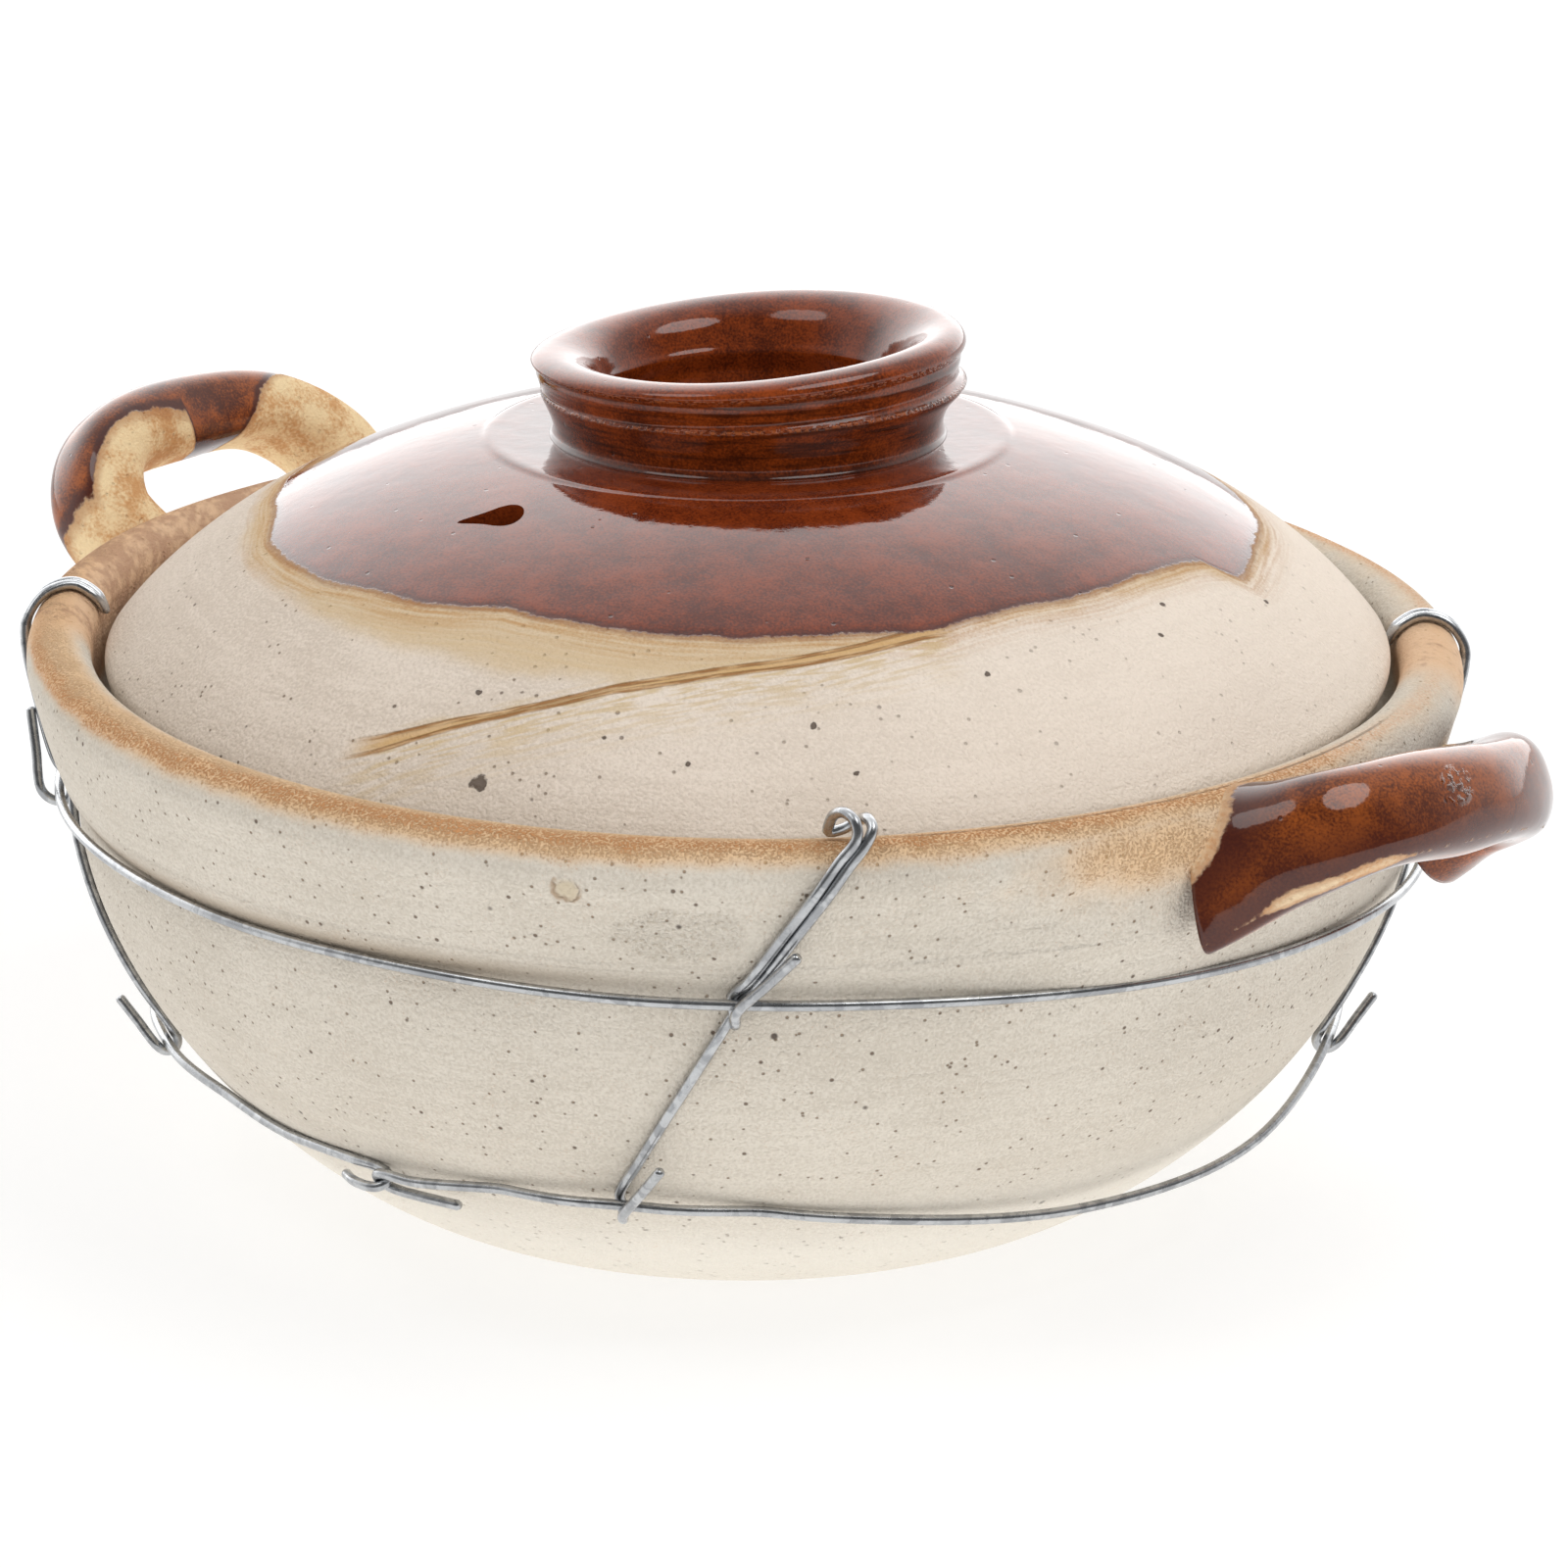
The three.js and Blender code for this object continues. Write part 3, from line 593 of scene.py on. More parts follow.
# %% Lid fields
glaze_edge = [(-136, 75.4), (-127, 78), (-117.5, 78.4), (-109, 78.2), (-102.6, 77.2), (-93, 76.8)]
glaze_edge += [(-83, 74.5), (-76, 75.2), (-66, 76.3), (-55, 76.3), (-49, 76), (-40, 76.4), (-35, 77.2)]
glaze_edge += [(-30, 75.8), (-24, 74.9), (-13, 75.8), (-3.5, 75.5), (4, 76.4), (8.4, 78.3), (9.4, 83.2)]
glaze_edge += [(20, 81.7), (32.5, 81.5), (50, 79), (75, 77.2), (100, 78.8), (130, 79.6), (160, 78)]
glaze_edge += [(190, 77), (210, 75.6)]
veil_edge = [(-140, 80), (-131, 82.3), (-120, 83), (-111, 83.6), (-98, 85), (-75, 86), (-60, 84.6)]
veil_edge += [(-45, 80), (-35, 77.6), (-28, 77.8), (-10, 78.4), (6, 80.5), (9.5, 85), (30, 84)]
veil_edge += [(50, 81.5), (100, 81.5), (160, 80.5)]
streak_line = [(-96, 101), (-88.3, 97.5), (-82.8, 93.9), (-75.9, 90.2), (-68, 85.9), (-57.8, 82.4)]
streak_line += [(-45.7, 79.7), (-35.7, 77.1)]
turn, reach, height = points_of(lid)
over = joined(dome, crown, [(30, DISC_Z), (0, DISC_Z)])[::-1]
topside = height > np.interp(reach, *over.T) - 0.4 * LID_WALL
from_hole = placed(reach, np.radians(turn), 0 * reach) - placed(HOLE[1], math.radians(HOLE[0]), 0)
topside |= np.linalg.norm(from_hole, axis=1) < 8
field(lid, "glaze", np.where(topside, read_round(glaze_edge, turn) - reach, -60))
field(lid, "veil", np.where(topside, read_round(veil_edge, turn) - reach, -60))
field(lid, "streak", np.where(topside, reach - np.interp(turn, *zip(*streak_line)), 60))
field(lid, "astray", np.maximum(0, turn + 36) + np.maximum(0, -87 - turn))
field(lid, "spread", np.interp(turn, [-90, -84, -78, -70, -55, -40], [0.95, 0.7, 0.35, 0.4, 0.6, 0.8]))
SHIFT = (0.1, 0.4, 0)
lid.data.transform(Matrix.Translation([MM * c for c in SHIFT]))
print("glaze edge from", min(r for _, r in glaze_edge), "to", max(r for _, r in glaze_edge), "mm")

# %% [markdown]
# ## Knob
#
# The knob is a hollow ring, thrown on the lid: a waist, a thin fin where the fingers slipped, and a lip
# that rolls over into a funnel and is thinner on the left. It leans a little. A spun curve would be true
# all round, so it is a grid like the pot, and as a ring in both directions it has no ends to close.

# %% Knob
EDGE_RISE, FIN_RISE, KNOB_RISE = 13.0, 8.0, 15.5
LEAN_TURN, LEAN = math.radians(35), math.radians(4)
knob_line = [(22, 0), (27, 0), (31.9, 0), (31.6, 0.3), (31.3, 0.8), (31.2, 2), (31.7, 4), (32.4, 6)]
knob_line += [(32.95, 7.6), (32.95, FIN_RISE), (32.8, 8.4), (33.2, 9.8), (33.6, 11.2), (33.75, 12.5)]
knob_line += [(34.05, EDGE_RISE), (34.4, 13.5), (34.3, 14.1), (33.7, 14.8), (32.6, 15.3), (31, KNOB_RISE)]
knob_line += [(28.8, 15.1), (26.6, 13.9), (25, 12.2), (24, 10.2), (23.3, 8.7), (22.7, 7.6), (22.8, 6)]
knob_line += [(23, 4.5), (22.5, 2)]
radius, azimuth, height = turned(smooth(knob_line, 0.3, closed=True)[:-1], 224)
rise = height
leaning = np.cos(azimuth - LEAN_TURN)
off_edge = (height - EDGE_RISE) / np.where(height > EDGE_RISE, KNOB_RISE - EDGE_RISE, EDGE_RISE - 3)
height = height - 0.6 * leaning * np.clip(1 - np.abs(off_edge), 0, 1) * (radius > 31.5)
off_fin = (rise - FIN_RISE) / np.where(rise > FIN_RISE, 0.7, 2.4)
radius = radius + 1.7 * (0.5 + 0.5 * leaning) ** 1.5 * np.exp(-(off_fin**2)) * (radius > 28)
radius = radius + 0.2 * np.sin(2 * azimuth + 0.5) * rising(height, 3, 9)
height = height + 0.2 * np.sin(3 * azimuth + 2) * rising(height, 4, 12)
lifted = height * (1 + radius * leaning * math.tan(LEAN) / KNOB_RISE)
grid = placed(radius, azimuth, lifted + DISC_Z - 0.02) + placed(0.4, LEAN_TURN, 0)
knob = skin("lid_knob_ring", grid, ring=True)
field(knob, "rise", np.where(radius > 31, rise, 20))
settled(knob, "lid", "lid_knob")

# %% [markdown]
# ## Handles
#
# A handle is a strap of clay, bent by hand and luted to the wall with both feet. The path is a curve
# through a few points, shared out by reach, spread and rise, and the section is a soft square that swells
# into the wall. One hangs level and the other stands up, so the same function takes their heights and tilt.

# %% Handle strap
SPINE = np.array([(-0.22, 1, -0.1), (0, 1, 0.1), (0.5, 0.95, 0.55), (0.86, 0.6, 0.9)])
UPRIGHT = np.array([(-0.22, 0.8, -0.1), (0, 0.82, 0.1), (0.42, 0.96, 0.55), (0.84, 0.74, 0.93)])


def softened(value, power):
    """The value's size raised to a power, with its sign kept: below one, a round turns into a soft square."""
    return np.sign(value) * np.abs(value) ** power


def strap(azimuth, foot, grip, roll, knead, near, far, reach=13.6, drawn=0, stations=150, columns=64):
    """A soft square carried along the spine: centre + inwards * width * cosine + above * height * sine, with
    cosine and sine drawn out by a power. Foot and grip are heights over the lip's middle, roll tips the
    loop, knead makes it uneven, and near and far are the shares of the spine. The first foot's lower side
    is pinched and drawn round the pot. Returns the grid, the share of the length, the angle and the
    distance from the pot's wall."""
    foot_z = LIP_Z + foot
    root = float(wall(foot_z))
    reach = LIP_RADIUS + reach - root
    shares = np.vstack([near * (1, -1, 1), [(1, 0, 1)], far[::-1]])
    line = np.array([root, 0, foot_z]) + shares * (reach, 30, grip - foot)
    path = smooth(line, 0.05)
    path = evenly(path, np.linalg.norm(np.diff(path, axis=0), axis=1).sum() / (stations - 1.001))
    along = np.gradient(path, axis=0)
    along /= np.linalg.norm(along, axis=1, keepdims=True)
    tilt = math.atan2(grip - foot, reach)
    inwards = np.cross((-math.sin(tilt), 0, math.cos(tilt)), along)
    inwards /= np.linalg.norm(inwards, axis=1, keepdims=True)
    above = np.cross(along, inwards)
    t = np.linspace(0, 1, len(path))[:, None]
    theta = np.radians(np.linspace(-90, 270, columns, endpoint=False))[None]
    swell = 5 * np.abs(2 * t - 1) ** 3 + 2 * rising(np.abs(2 * t - 1), 0.78, 1.0)
    squareness = 0.72 + 0.2 * np.abs(2 * t - 1)
    pinch = 1 - 5 * drawn * np.maximum(0, 1 - t / 0.2) * (0.5 - 0.5 * np.sin(theta))
    width = pinch * (13.5 + swell + knead(t, theta)) / 2
    height = (15.5 + swell + knead(t + 0.37, theta + 1)) / 2
    grid = path[:, None] + inwards[:, None] * (width * softened(np.cos(theta), squareness))[..., None]
    grid = grid + above[:, None] * (height * softened(np.sin(theta), squareness))[..., None]
    tip, spin = math.radians(-roll), math.radians(azimuth)
    tipped = np.array([[1, 0, 0], [0, math.cos(tip), -math.sin(tip)], [0, math.sin(tip), math.cos(tip)]])
    spun = np.array([[math.cos(spin), -math.sin(spin), 0], [math.sin(spin), math.cos(spin), 0], [0, 0, 1]])
    pivot = np.array([0, 0, foot_z])
    grid = (grid - pivot) @ tipped.T + pivot
    sweep = -drawn * np.maximum(0, 1 - t / 0.22) ** 1.5 * (0.5 - 0.5 * np.sin(theta))
    x, y, level = np.moveaxis(grid, -1, 0)
    swept = [np.cos(sweep) * x - np.sin(sweep) * y, np.sin(sweep) * x + np.cos(sweep) * y]
    grid = np.stack([*swept, level], axis=-1) @ spun.T
    reached = np.hypot(x, y)
    off_lip = np.hypot(reached - LIP_CENTRE, level - LIP_Z) - LIP_SIZE
    clear = np.where(level < LIP_Z, reached - wall(level), off_lip)
    return grid, np.broadcast_to(t, grid.shape[:2]), np.degrees(theta), clear


def capped(values):
    """A field on the grid, with a last value for each of the two end points."""
    return np.concatenate([values.ravel(), [values[0].mean(), values[-1].mean()]])


print("strap through", 2 * len(SPINE) + 1, "points")


# %% Right handle
def right_knead(t, theta):
    """Two waves along and round the strap, as fingers leave them."""
    return 0.8 * np.sin(9 * t + theta) + 0.5 * np.sin(17 * t - 2 * theta)


grid, t, theta, clear = strap(azimuth=0, foot=-9.1, grip=-0.1, roll=10, knead=right_knead,
                              near=SPINE, far=SPINE, reach=12.8, drawn=0.1)
handle_right = skin("handle_right_pulled", grid)
ragged = 1.8 - 1.2 * rising(-np.sin(np.radians(theta)), 0.2, 0.8)
strip = np.abs(theta - 240) * 0.13 - 1.7 * stretch(t, 0.06, 0.11, 0.2, 0.27)
field(handle_right, "glaze", capped(np.minimum(clear - ragged, strip)))
settled(handle_right, "pot", "handle_right")


# %% Left handle
def left_knead(t, theta):
    """Two other waves along and round the strap."""
    return 0.7 * np.sin(8 * t + theta + 2) + 0.5 * np.sin(15 * t + 2 * theta)


grid, t, theta, clear = strap(azimuth=176, foot=-3.6, grip=18.4, roll=0, knead=left_knead,
                              near=SPINE, far=UPRIGHT)
handle_left = skin("handle_left_pulled", grid)
bare = [(0, 200), (0.2, 185), (0.25, 170), (0.33, 120), (0.4, 60), (0.45, -10), (0.52, -10), (0.55, 85)]
bare += [(0.62, 95), (0.72, 110), (0.8, 135), (0.9, 160), (0.97, 180), (1, 200)]
edge_angle = np.interp(t, *zip(*bare))
under_angle = np.interp(t, [0, 0.3, 0.4, 0.6, 0.75, 1], [225, 250, 300, 300, 260, 235])
covered = np.minimum(0.125 * np.minimum(theta - edge_angle, under_angle - theta), 0.6 * (clear - 12.5))
field(handle_left, "glaze", capped(covered))
settled(handle_left, "pot", "handle_left")

# %% [markdown]
# ## Wire harness
#
# Two rings of binding wire lie round the bowl, each closed by two hooks that hold each other. Four struts
# run between them: a doubled leg goes up over the lip, and its two ends curl round the rings. A curve with
# a bevel would do for a drawing, but here the wires have to lie on an uneven wall, so each path is worked
# out on the clay: a place is an azimuth, a height and a distance from the wall, and over the lip the
# height runs on along its round.

# %% Places on the clay
WIRE = 1.6
PITCH = WIRE + 0.12
TOUCH = WIRE / 2 + 0.08
# Stations of a ring: azimuth, height above the ring's level, extra distance from the clay.
UPPER = [(-138, -3, 0), (-104, -3.5, 0), (-56, -3.5, 0), (-20, -8.5, 0), (4, -12, 0), (28, -14, 0)]
UPPER += [(76, -13.5, 0), (125, -11, 0), (172, -6, 0)]
LOWER = [(-128, 0, 1), (-112, -4, 0), (-90, -3, 0), (-66, 1, 0), (-46, -3.5, 0.5), (-20, -8, 2.5)]
LOWER += [(0, -5.5, 4.5), (18, 0, 2), (70, 0, 2), (116, 0, 0), (172, 0, 0)]
# Azimuths of a strut at the lip, the upper and the lower ring, and how far round the lip its bend lies.
STRUTS = {"strut_front": (-47.3, -56, -66, None), "strut_right": (34, 28, 18, 166)}
STRUTS |= {"strut_back": (133, 125, 116, 166), "strut_left": (-147, -138, -128, 166)}
HALF_TURN = np.radians([-90, -45, 0, 45, 90])


def on_clay(azimuth, off, height):
    """A point at a distance from the clay: below the lip's middle straight out from the wall, above it out
    from the lip's round, whose angle is the height left over divided by the lip's size."""
    azimuth, off, height = np.broadcast_arrays(*(np.asarray(v, float) for v in (azimuth, off, height)))
    lean = (wall(height + WIRE) - wall(height - WIRE)) / (2 * WIRE)
    turn = np.maximum(0, height - LIP_Z) / LIP_SIZE
    low = height < LIP_Z
    flat = np.where(low, 1 / np.hypot(1, lean), np.cos(turn))
    tall = np.where(low, -lean / np.hypot(1, lean), np.sin(turn))
    surface = np.where(low, wall(height) + uneven(azimuth, height), LIP_CENTRE + LIP_SIZE * np.cos(turn))
    z = np.where(low, height, LIP_Z + LIP_SIZE * np.sin(turn)) + off * tall + rim_rise(azimuth, height)
    return placed(surface + off * flat, np.radians(azimuth), z)


print("wire", WIRE, "mm thick,", TOUCH, "mm from its middle to the clay")


# %% Ring paths
def ring_track(stations, level, strut_end, ease):
    """Height and distance from the clay at any azimuth: cubics between the stations, whose slopes are the
    means of the slopes on both sides; where a strut passes below, the ring is lifted over it and comes
    back to the clay within the ease, in degrees."""
    table = np.array(stations, float)
    rounds = np.concatenate([table + (turn, level, 0) for turn in (-360, 0, 360)])
    x, y = rounds[:, 0], rounds[:, 1:]
    secant = np.diff(y, axis=0) / np.diff(x)[:, None]
    tangent = np.vstack([secant[:1], (secant[:-1] + secant[1:]) / 2, secant[-1:]])
    crossings = np.array([ends[strut_end] for ends in STRUTS.values()])

    def track(azimuth):
        azimuth = np.asarray(azimuth, float)
        k = np.clip(np.searchsorted(x, azimuth) - 1, 0, len(x) - 2)
        span = (x[k + 1] - x[k])[..., None]
        u = (azimuth - x[k])[..., None] / span
        value = (2 * u**3 - 3 * u**2 + 1) * y[k] + (3 * u**2 - 2 * u**3) * y[k + 1]
        value = value + span * ((u**3 - 2 * u**2 + u) * tangent[k] + (u**3 - u**2) * tangent[k + 1])
        apart = np.abs((azimuth[..., None] - crossings + 180) % 360 - 180)
        lift = (1 - rising(apart, 3, ease)).max(axis=-1)
        return value[..., 0], TOUCH + np.maximum(value[..., 1], PITCH * lift)

    return track


upper_track = ring_track(UPPER, level=69.0, strut_end=1, ease=34)
lower_track = ring_track(LOWER, level=28.0, strut_end=2, ease=15)
print("upper ring at", float(upper_track(-56.0)[0]), "lower ring at", float(lower_track(-66.0)[0]))


# %% Ring joints and hooks
def ring_path(track, joint):
    """Once round from joint to joint, with an upright hook at the first end and a lying one at the last."""
    z, _ = track(float(joint))
    degrees = 180 / math.pi / float(wall(z))

    def upright(along, rise):
        """Points of the upright hook: a way along the ring and a rise over it, in mm."""
        return on_clay(joint + degrees * np.asarray(along), TOUCH + PITCH, z + rise)

    def lying(along, off, rise=0):
        """Points of the lying hook: a way back along the ring, a distance from it and a rise, in mm."""
        return on_clay(joint - degrees * np.asarray(along), TOUCH + off, z + rise)

    bend, across = PITCH * (1 - 1.5 * np.cos(HALF_TURN)), PITCH * np.sin(HALF_TURN)
    closing = PITCH * np.array([1.9, 1.1])
    first = [upright([13, 6.5], -PITCH), upright(bend, across), upright([6.5], PITCH)]
    last = [lying([6.5], 0), lying(bend, PITCH + across), lying([4.5, 8.5], closing, closing - 2 * PITCH)]
    azimuth = np.arange(joint + 21 * degrees, joint + 360 - 21 * degrees, 1.5)
    height, off = track((azimuth + 180) % 360 - 180)
    return np.vstack([*first, on_clay(azimuth, off, height), *last])


def hook_round(azimuth, track, tail, lean, aside_by, sag, upright=0.0):
    """The end of a strut round a ring: half a turn about the ring's middle, which drifts aside and sags,
    then a straight tail. Upright is how far the tail turns from the wall's slope to the plumb line, and
    the turn opens with it, so that the tail stays clear of the clay."""
    height, off = track(float(azimuth))
    centre = on_clay(azimuth, off, height)
    out = on_clay(azimuth, off + 1, height) - centre
    aside = np.array([-math.sin(math.radians(azimuth)), math.cos(math.radians(azimuth)), 0])
    up = np.cross(out, aside)
    end = (1 - upright) * up + upright * np.array([0, 0, 1]) + lean * aside
    end *= tail / np.linalg.norm(end)
    half = centre - PITCH * np.sin(HALF_TURN)[:, None] * out - (PITCH + sag) * np.cos(HALF_TURN)[:, None] * up
    half = half + np.linspace(aside_by, 0, len(half))[:, None] * aside
    half = half + np.linspace(2 * upright, 0, len(half))[:, None] * out
    return np.vstack([half[0] + end, half[0] + end / 2, half])


print("hooks close round a ring at", PITCH, "mm")

# %% Strut paths
# The front bend: way aside, radius and height in mm.
FRONT_HOOK = [(0, 116.6, 86.5), (0, 116.8, 90), (-0.5, 115.9, 92.2), (-1.7, 113.9, 92.9), (-2.9, 112, 91.9)]
FRONT_HOOK += [(-3.2, 110.9, 90.2), (-2.3, 110.2, 88.9), (-0.6, 110.3, 89.2), (0.7, 111.6, 90.8)]
FRONT_HOOK += [(1.6, 113.9, 91.9), (1.95, 115.9, 91), (1.95, 116.7, 88.8), (1.9, 116.6, 86)]


def strut_path(lip, upper, lower, reach):
    """From the tail at the upper ring up over the lip, a bend into the second leg, down past the upper ring,
    and across the bowl to the tail at the lower ring. A reach is how far round the lip the bend lies; with
    none, the bend is the front one, which stands up and curls aside."""
    top_z, top_off = (float(v) for v in upper_track(float(upper)))
    low_z, _ = (float(v) for v in lower_track(float(lower)))
    crest = LIP_Z + LIP_SIZE * math.radians(90)
    beside = math.degrees((WIRE + 0.3) / LIP_RADIUS)
    band_lean = (lip - upper) / (crest - top_z)
    bowl_lean = (upper - lower) / (top_z - low_z)

    def leg(height, shift):
        """Points of a leg on the band: heights, and a shift aside in degrees."""
        height = np.asarray(height, float)
        return on_clay(upper + band_lean * (np.minimum(height, crest) - top_z) + shift, TOUCH + 0.2, height)

    heights = np.array([69, (69 + LIP_Z) / 2, LIP_Z - 1])
    if reach:
        round_lip = LIP_SIZE * math.radians(reach)
        over = LIP_Z + round_lip * np.array([0.1, 0.35, 0.6, 0.85])
        bend = [leg(over, 0), leg([LIP_Z + round_lip], beside / 2), leg(over[::-1], beside)]
    else:
        along, radius, height = np.array(FRONT_HOOK).T
        azimuth = upper + band_lean * (np.minimum(height, 90.5) - top_z) + np.degrees(along / LIP_RADIUS)
        bend = [placed(radius, np.radians(azimuth), height + rim_rise(azimuth, height))]
    share = np.array([0.2, 0.4, 0.6, 0.8])
    passing = upper + beside
    bowl_leg = on_clay(passing + (lower - passing) * share, TOUCH, top_z + (low_z - top_z) * share)
    pass_under = on_clay([passing], top_off - PITCH, [top_z])
    top_lean, upright = (0.6, 0.75) if reach else (1.2, 0)
    top_lean *= LIP_RADIUS * math.radians(band_lean)
    top = hook_round(upper, upper_track, tail=13.5, lean=top_lean, aside_by=0.7, sag=1.7, upright=upright)
    low_tail, low_lean = 10 if reach else 15, LIP_RADIUS * math.radians(bowl_lean)
    low = hook_round(lower, lower_track, tail=low_tail, lean=low_lean, aside_by=1.1, sag=0.8)
    legs = [leg(heights, 0), *bend, leg(heights[::-1], beside), pass_under, bowl_leg]
    return np.vstack([top, *legs, low[::-1]])


print("front bend through", len(FRONT_HOOK), "points")


# %% Wires
WIRE_STEP = 0.42


def unit(vectors):
    """Vectors divided by their lengths."""
    return vectors / np.linalg.norm(vectors, axis=-1, keepdims=True)


def dot(first, second):
    """The sum of the products of the coordinates."""
    return (first * second).sum(axis=-1, keepdims=True)


def wire_tube(name, points, sides=12):
    """A round section carried along the path without a twist: each station has some side of its own, the
    angle between it and the one carried on from the station before is summed up, and the sum is undone."""
    path = smooth(points, WIRE_STEP)
    along = unit(np.gradient(path, axis=0))
    side = unit(np.cross(along, (0.31, 0.52, 0.79)))
    other = np.cross(along, side)
    axis, cosine = np.cross(along[:-1], along[1:]), dot(along[:-1], along[1:])
    carried = side[:-1] * cosine + np.cross(axis, side[:-1]) + axis * dot(axis, side[:-1]) / (1 + cosine)
    twist = np.arctan2(dot(carried, other[1:]), dot(carried, side[1:]))
    angle = np.vstack([np.zeros((1, 1)), np.cumsum(twist, axis=0)])
    side, other = np.cos(angle) * side + np.sin(angle) * other, np.cos(angle) * other - np.sin(angle) * side
    theta = np.linspace(0, 2 * math.pi, sides, endpoint=False)[None, :, None]
    size = np.full((len(path), 1, 1), WIRE / 2)
    size[[0, -1]] *= 0.72
    grid = path[:, None] + size * (np.cos(theta) * side[:, None] + np.sin(theta) * other[:, None])
    piece = skin(name, grid)
    run = np.arange(len(path))[:, None] * WIRE_STEP + np.zeros((1, sides))
    field(piece, "run", capped(run))
    return piece


paths = {"upper_ring": ring_path(upper_track, 150), "lower_ring": ring_path(lower_track, -90)}
paths |= {name: strut_path(*ends) for name, ends in STRUTS.items()}
wires = {name: wire_tube(name + "_wire", points) for name, points in paths.items()}
for name, piece in wires.items():
    settled(piece, "pot", name)

# %% [markdown]
# ## Finishes
#
# Bare stoneware is matt and gritty: slow clouds in the cream, fine throwing lines, iron specks and pits.
# The glaze is glass over iron: dark where it is thick, amber where it is thin, mottled at the size of a
# grain of sand, and smooth enough to mirror the room. All of it is noise on the object's own coordinates,
# so it stays put when the lid is lifted.


# %% Patterns
def place_of(paint):
    """The object's own coordinates, in metres."""
    return paint.node("TexCoord", {}, {}, "Object")


def attribute(paint, name):
    """A number that the mesh stores at its points."""
    return paint.node("Attribute", {"attribute_name": name}, {}, "Fac")


def mixed(paint, first, second, share):
    """The first colour with a share of the second."""
    return paint.node("Mix", {"data_type": "RGBA"}, {0: share, 6: first, 7: second}, 2)


def grain(paint, size, detail=2.0, scales=None):
    """Noise with grains of a size in mm, drawn out along an axis whose scale is small."""
    place = place_of(paint)
    if scales:
        place = paint.node("Mapping", {}, {"Vector": place, "Scale": scales})
    return paint.node("TexNoise", {}, {"Vector": place, "Scale": 1 / (size * MM), "Detail": detail})


def specks(paint, spacing, size, share):
    """Round specks about a spacing apart, in mm, in a share of all cells."""
    cells = paint.node("TexVoronoi", {}, {"Vector": place_of(paint), "Scale": 1 / (spacing * MM)}, "Distance")
    lot = paint.node("SeparateColor", {}, {0: cells.beside("Color")})
    return between(cells * spacing, size, 0.45 * size) * lot.maths("LESS_THAN", share)


def spot(paint, azimuth, radius, height, squash=1.0):
    """Distance in mm from a place; a squash makes differences in height count more."""
    point = placed(radius, math.radians(azimuth), height) * MM
    ends = {0: place_of(paint), 1: point.tolist()}
    away = paint.node("VectorMath", {"operation": "SUBTRACT"}, ends, "Vector")
    away = paint.node("VectorMath", {"operation": "MULTIPLY"}, {0: away, 1: (1, 1, squash)}, "Vector")
    return paint.node("VectorMath", {"operation": "LENGTH"}, {0: away}, "Value") / MM


def finished(paint, colour, roughness, height, **constants):
    """The surface: colour and roughness as given, and a bump whose height is in mm."""
    bump = paint.node("Bump", {}, {"Strength": 1.0, "Distance": MM, "Height": height})
    inputs = {"Base Color": colour, "Roughness": roughness, "Normal": bump, **constants}
    paint.node("OutputMaterial", {}, {"Surface": paint.node("BsdfPrincipled", {}, inputs)})


print("patterns are ready")


# %% Clay and glaze
def clay(paint, pale, dark, speckled=1.0):
    """Colour and height of bare clay: clouds, throwing lines and grit between two creams, with pits and iron
    specks of three sizes, thicker in some places than in others."""
    clouds = grain(paint, 22, 3)
    lines = grain(paint, 1.1, 3, (0.05, 0.05, 1))
    grit = grain(paint, 0.5, 2)
    lumps = grain(paint, 2.6, 3)
    colour = mixed(paint, pale, dark, between(0.4 * clouds + 0.3 * lines + 0.9 * grit, 0.6, 1.0))
    crowd = between(clouds, 0.35, 0.65)
    dust = specks(paint, 1.5, 0.32, speckled * (0.15 + 0.35 * crowd))
    tiny = specks(paint, 2.5, 0.42, speckled * (0.06 + 0.26 * crowd))
    iron = specks(paint, 8, 0.7, speckled * 0.16)
    colour = mixed(paint, colour, coloured(126, 104, 80), dust * 0.8)
    colour = mixed(paint, colour, coloured(92, 70, 52), tiny * 0.85)
    colour = mixed(paint, colour, coloured(62, 48, 40), iron * 0.9)
    height = 0.3 * grit + 0.1 * lines + 0.1 * clouds + 0.4 * lumps - 0.16 * iron - 0.2 * (tiny + dust)
    return colour, height


def brown_glaze(paint, dark, amber, drifting=0.5):
    """Colour and height of the glaze: grains of amber in a dark brown, and a slow swell of its thickness."""
    sand = 0.72 * grain(paint, 0.4, 3) + 0.28 * grain(paint, 2.4, 4)
    drift = grain(paint, 8, 4)
    colour = mixed(paint, dark, amber, between(sand + drifting * (drift - 0.5), 0.3, 0.7))
    burnt = specks(paint, 4, 0.45, 0.35)
    colour = mixed(paint, colour, coloured(46, 18, 10), burnt * 0.75)
    return colour, 0.10 * drift + 0.005 * sand - 0.05 * burnt


GLAZE_DARK, GLAZE_AMBER = coloured(80, 28, 12), coloured(132, 56, 22)
CLAY_PALE, CLAY_DARK = coloured(213, 205, 192), coloured(197, 188, 174)
TOAST_DEEP, TOAST_PALE = coloured(180, 122, 70), coloured(234, 188, 132)
print("clay and glaze are ready")

# %% [markdown]
# ## Finish of the pot
#
# The clay is cream, with painted light that makes it paler towards the foot, an orange toast on the lip that
# breaks up into grains, and purple smoke on the far left. A painted picture would blur close up, so the
# fields say where a mark lies and noise gives it its grain.

# %% Toast and smoke
material, paint = new_paint("bare_clay_pot")
colour, bumps = clay(paint, CLAY_PALE, CLAY_DARK)
axes = paint.node("SeparateXYZ", {}, {0: place_of(paint)})
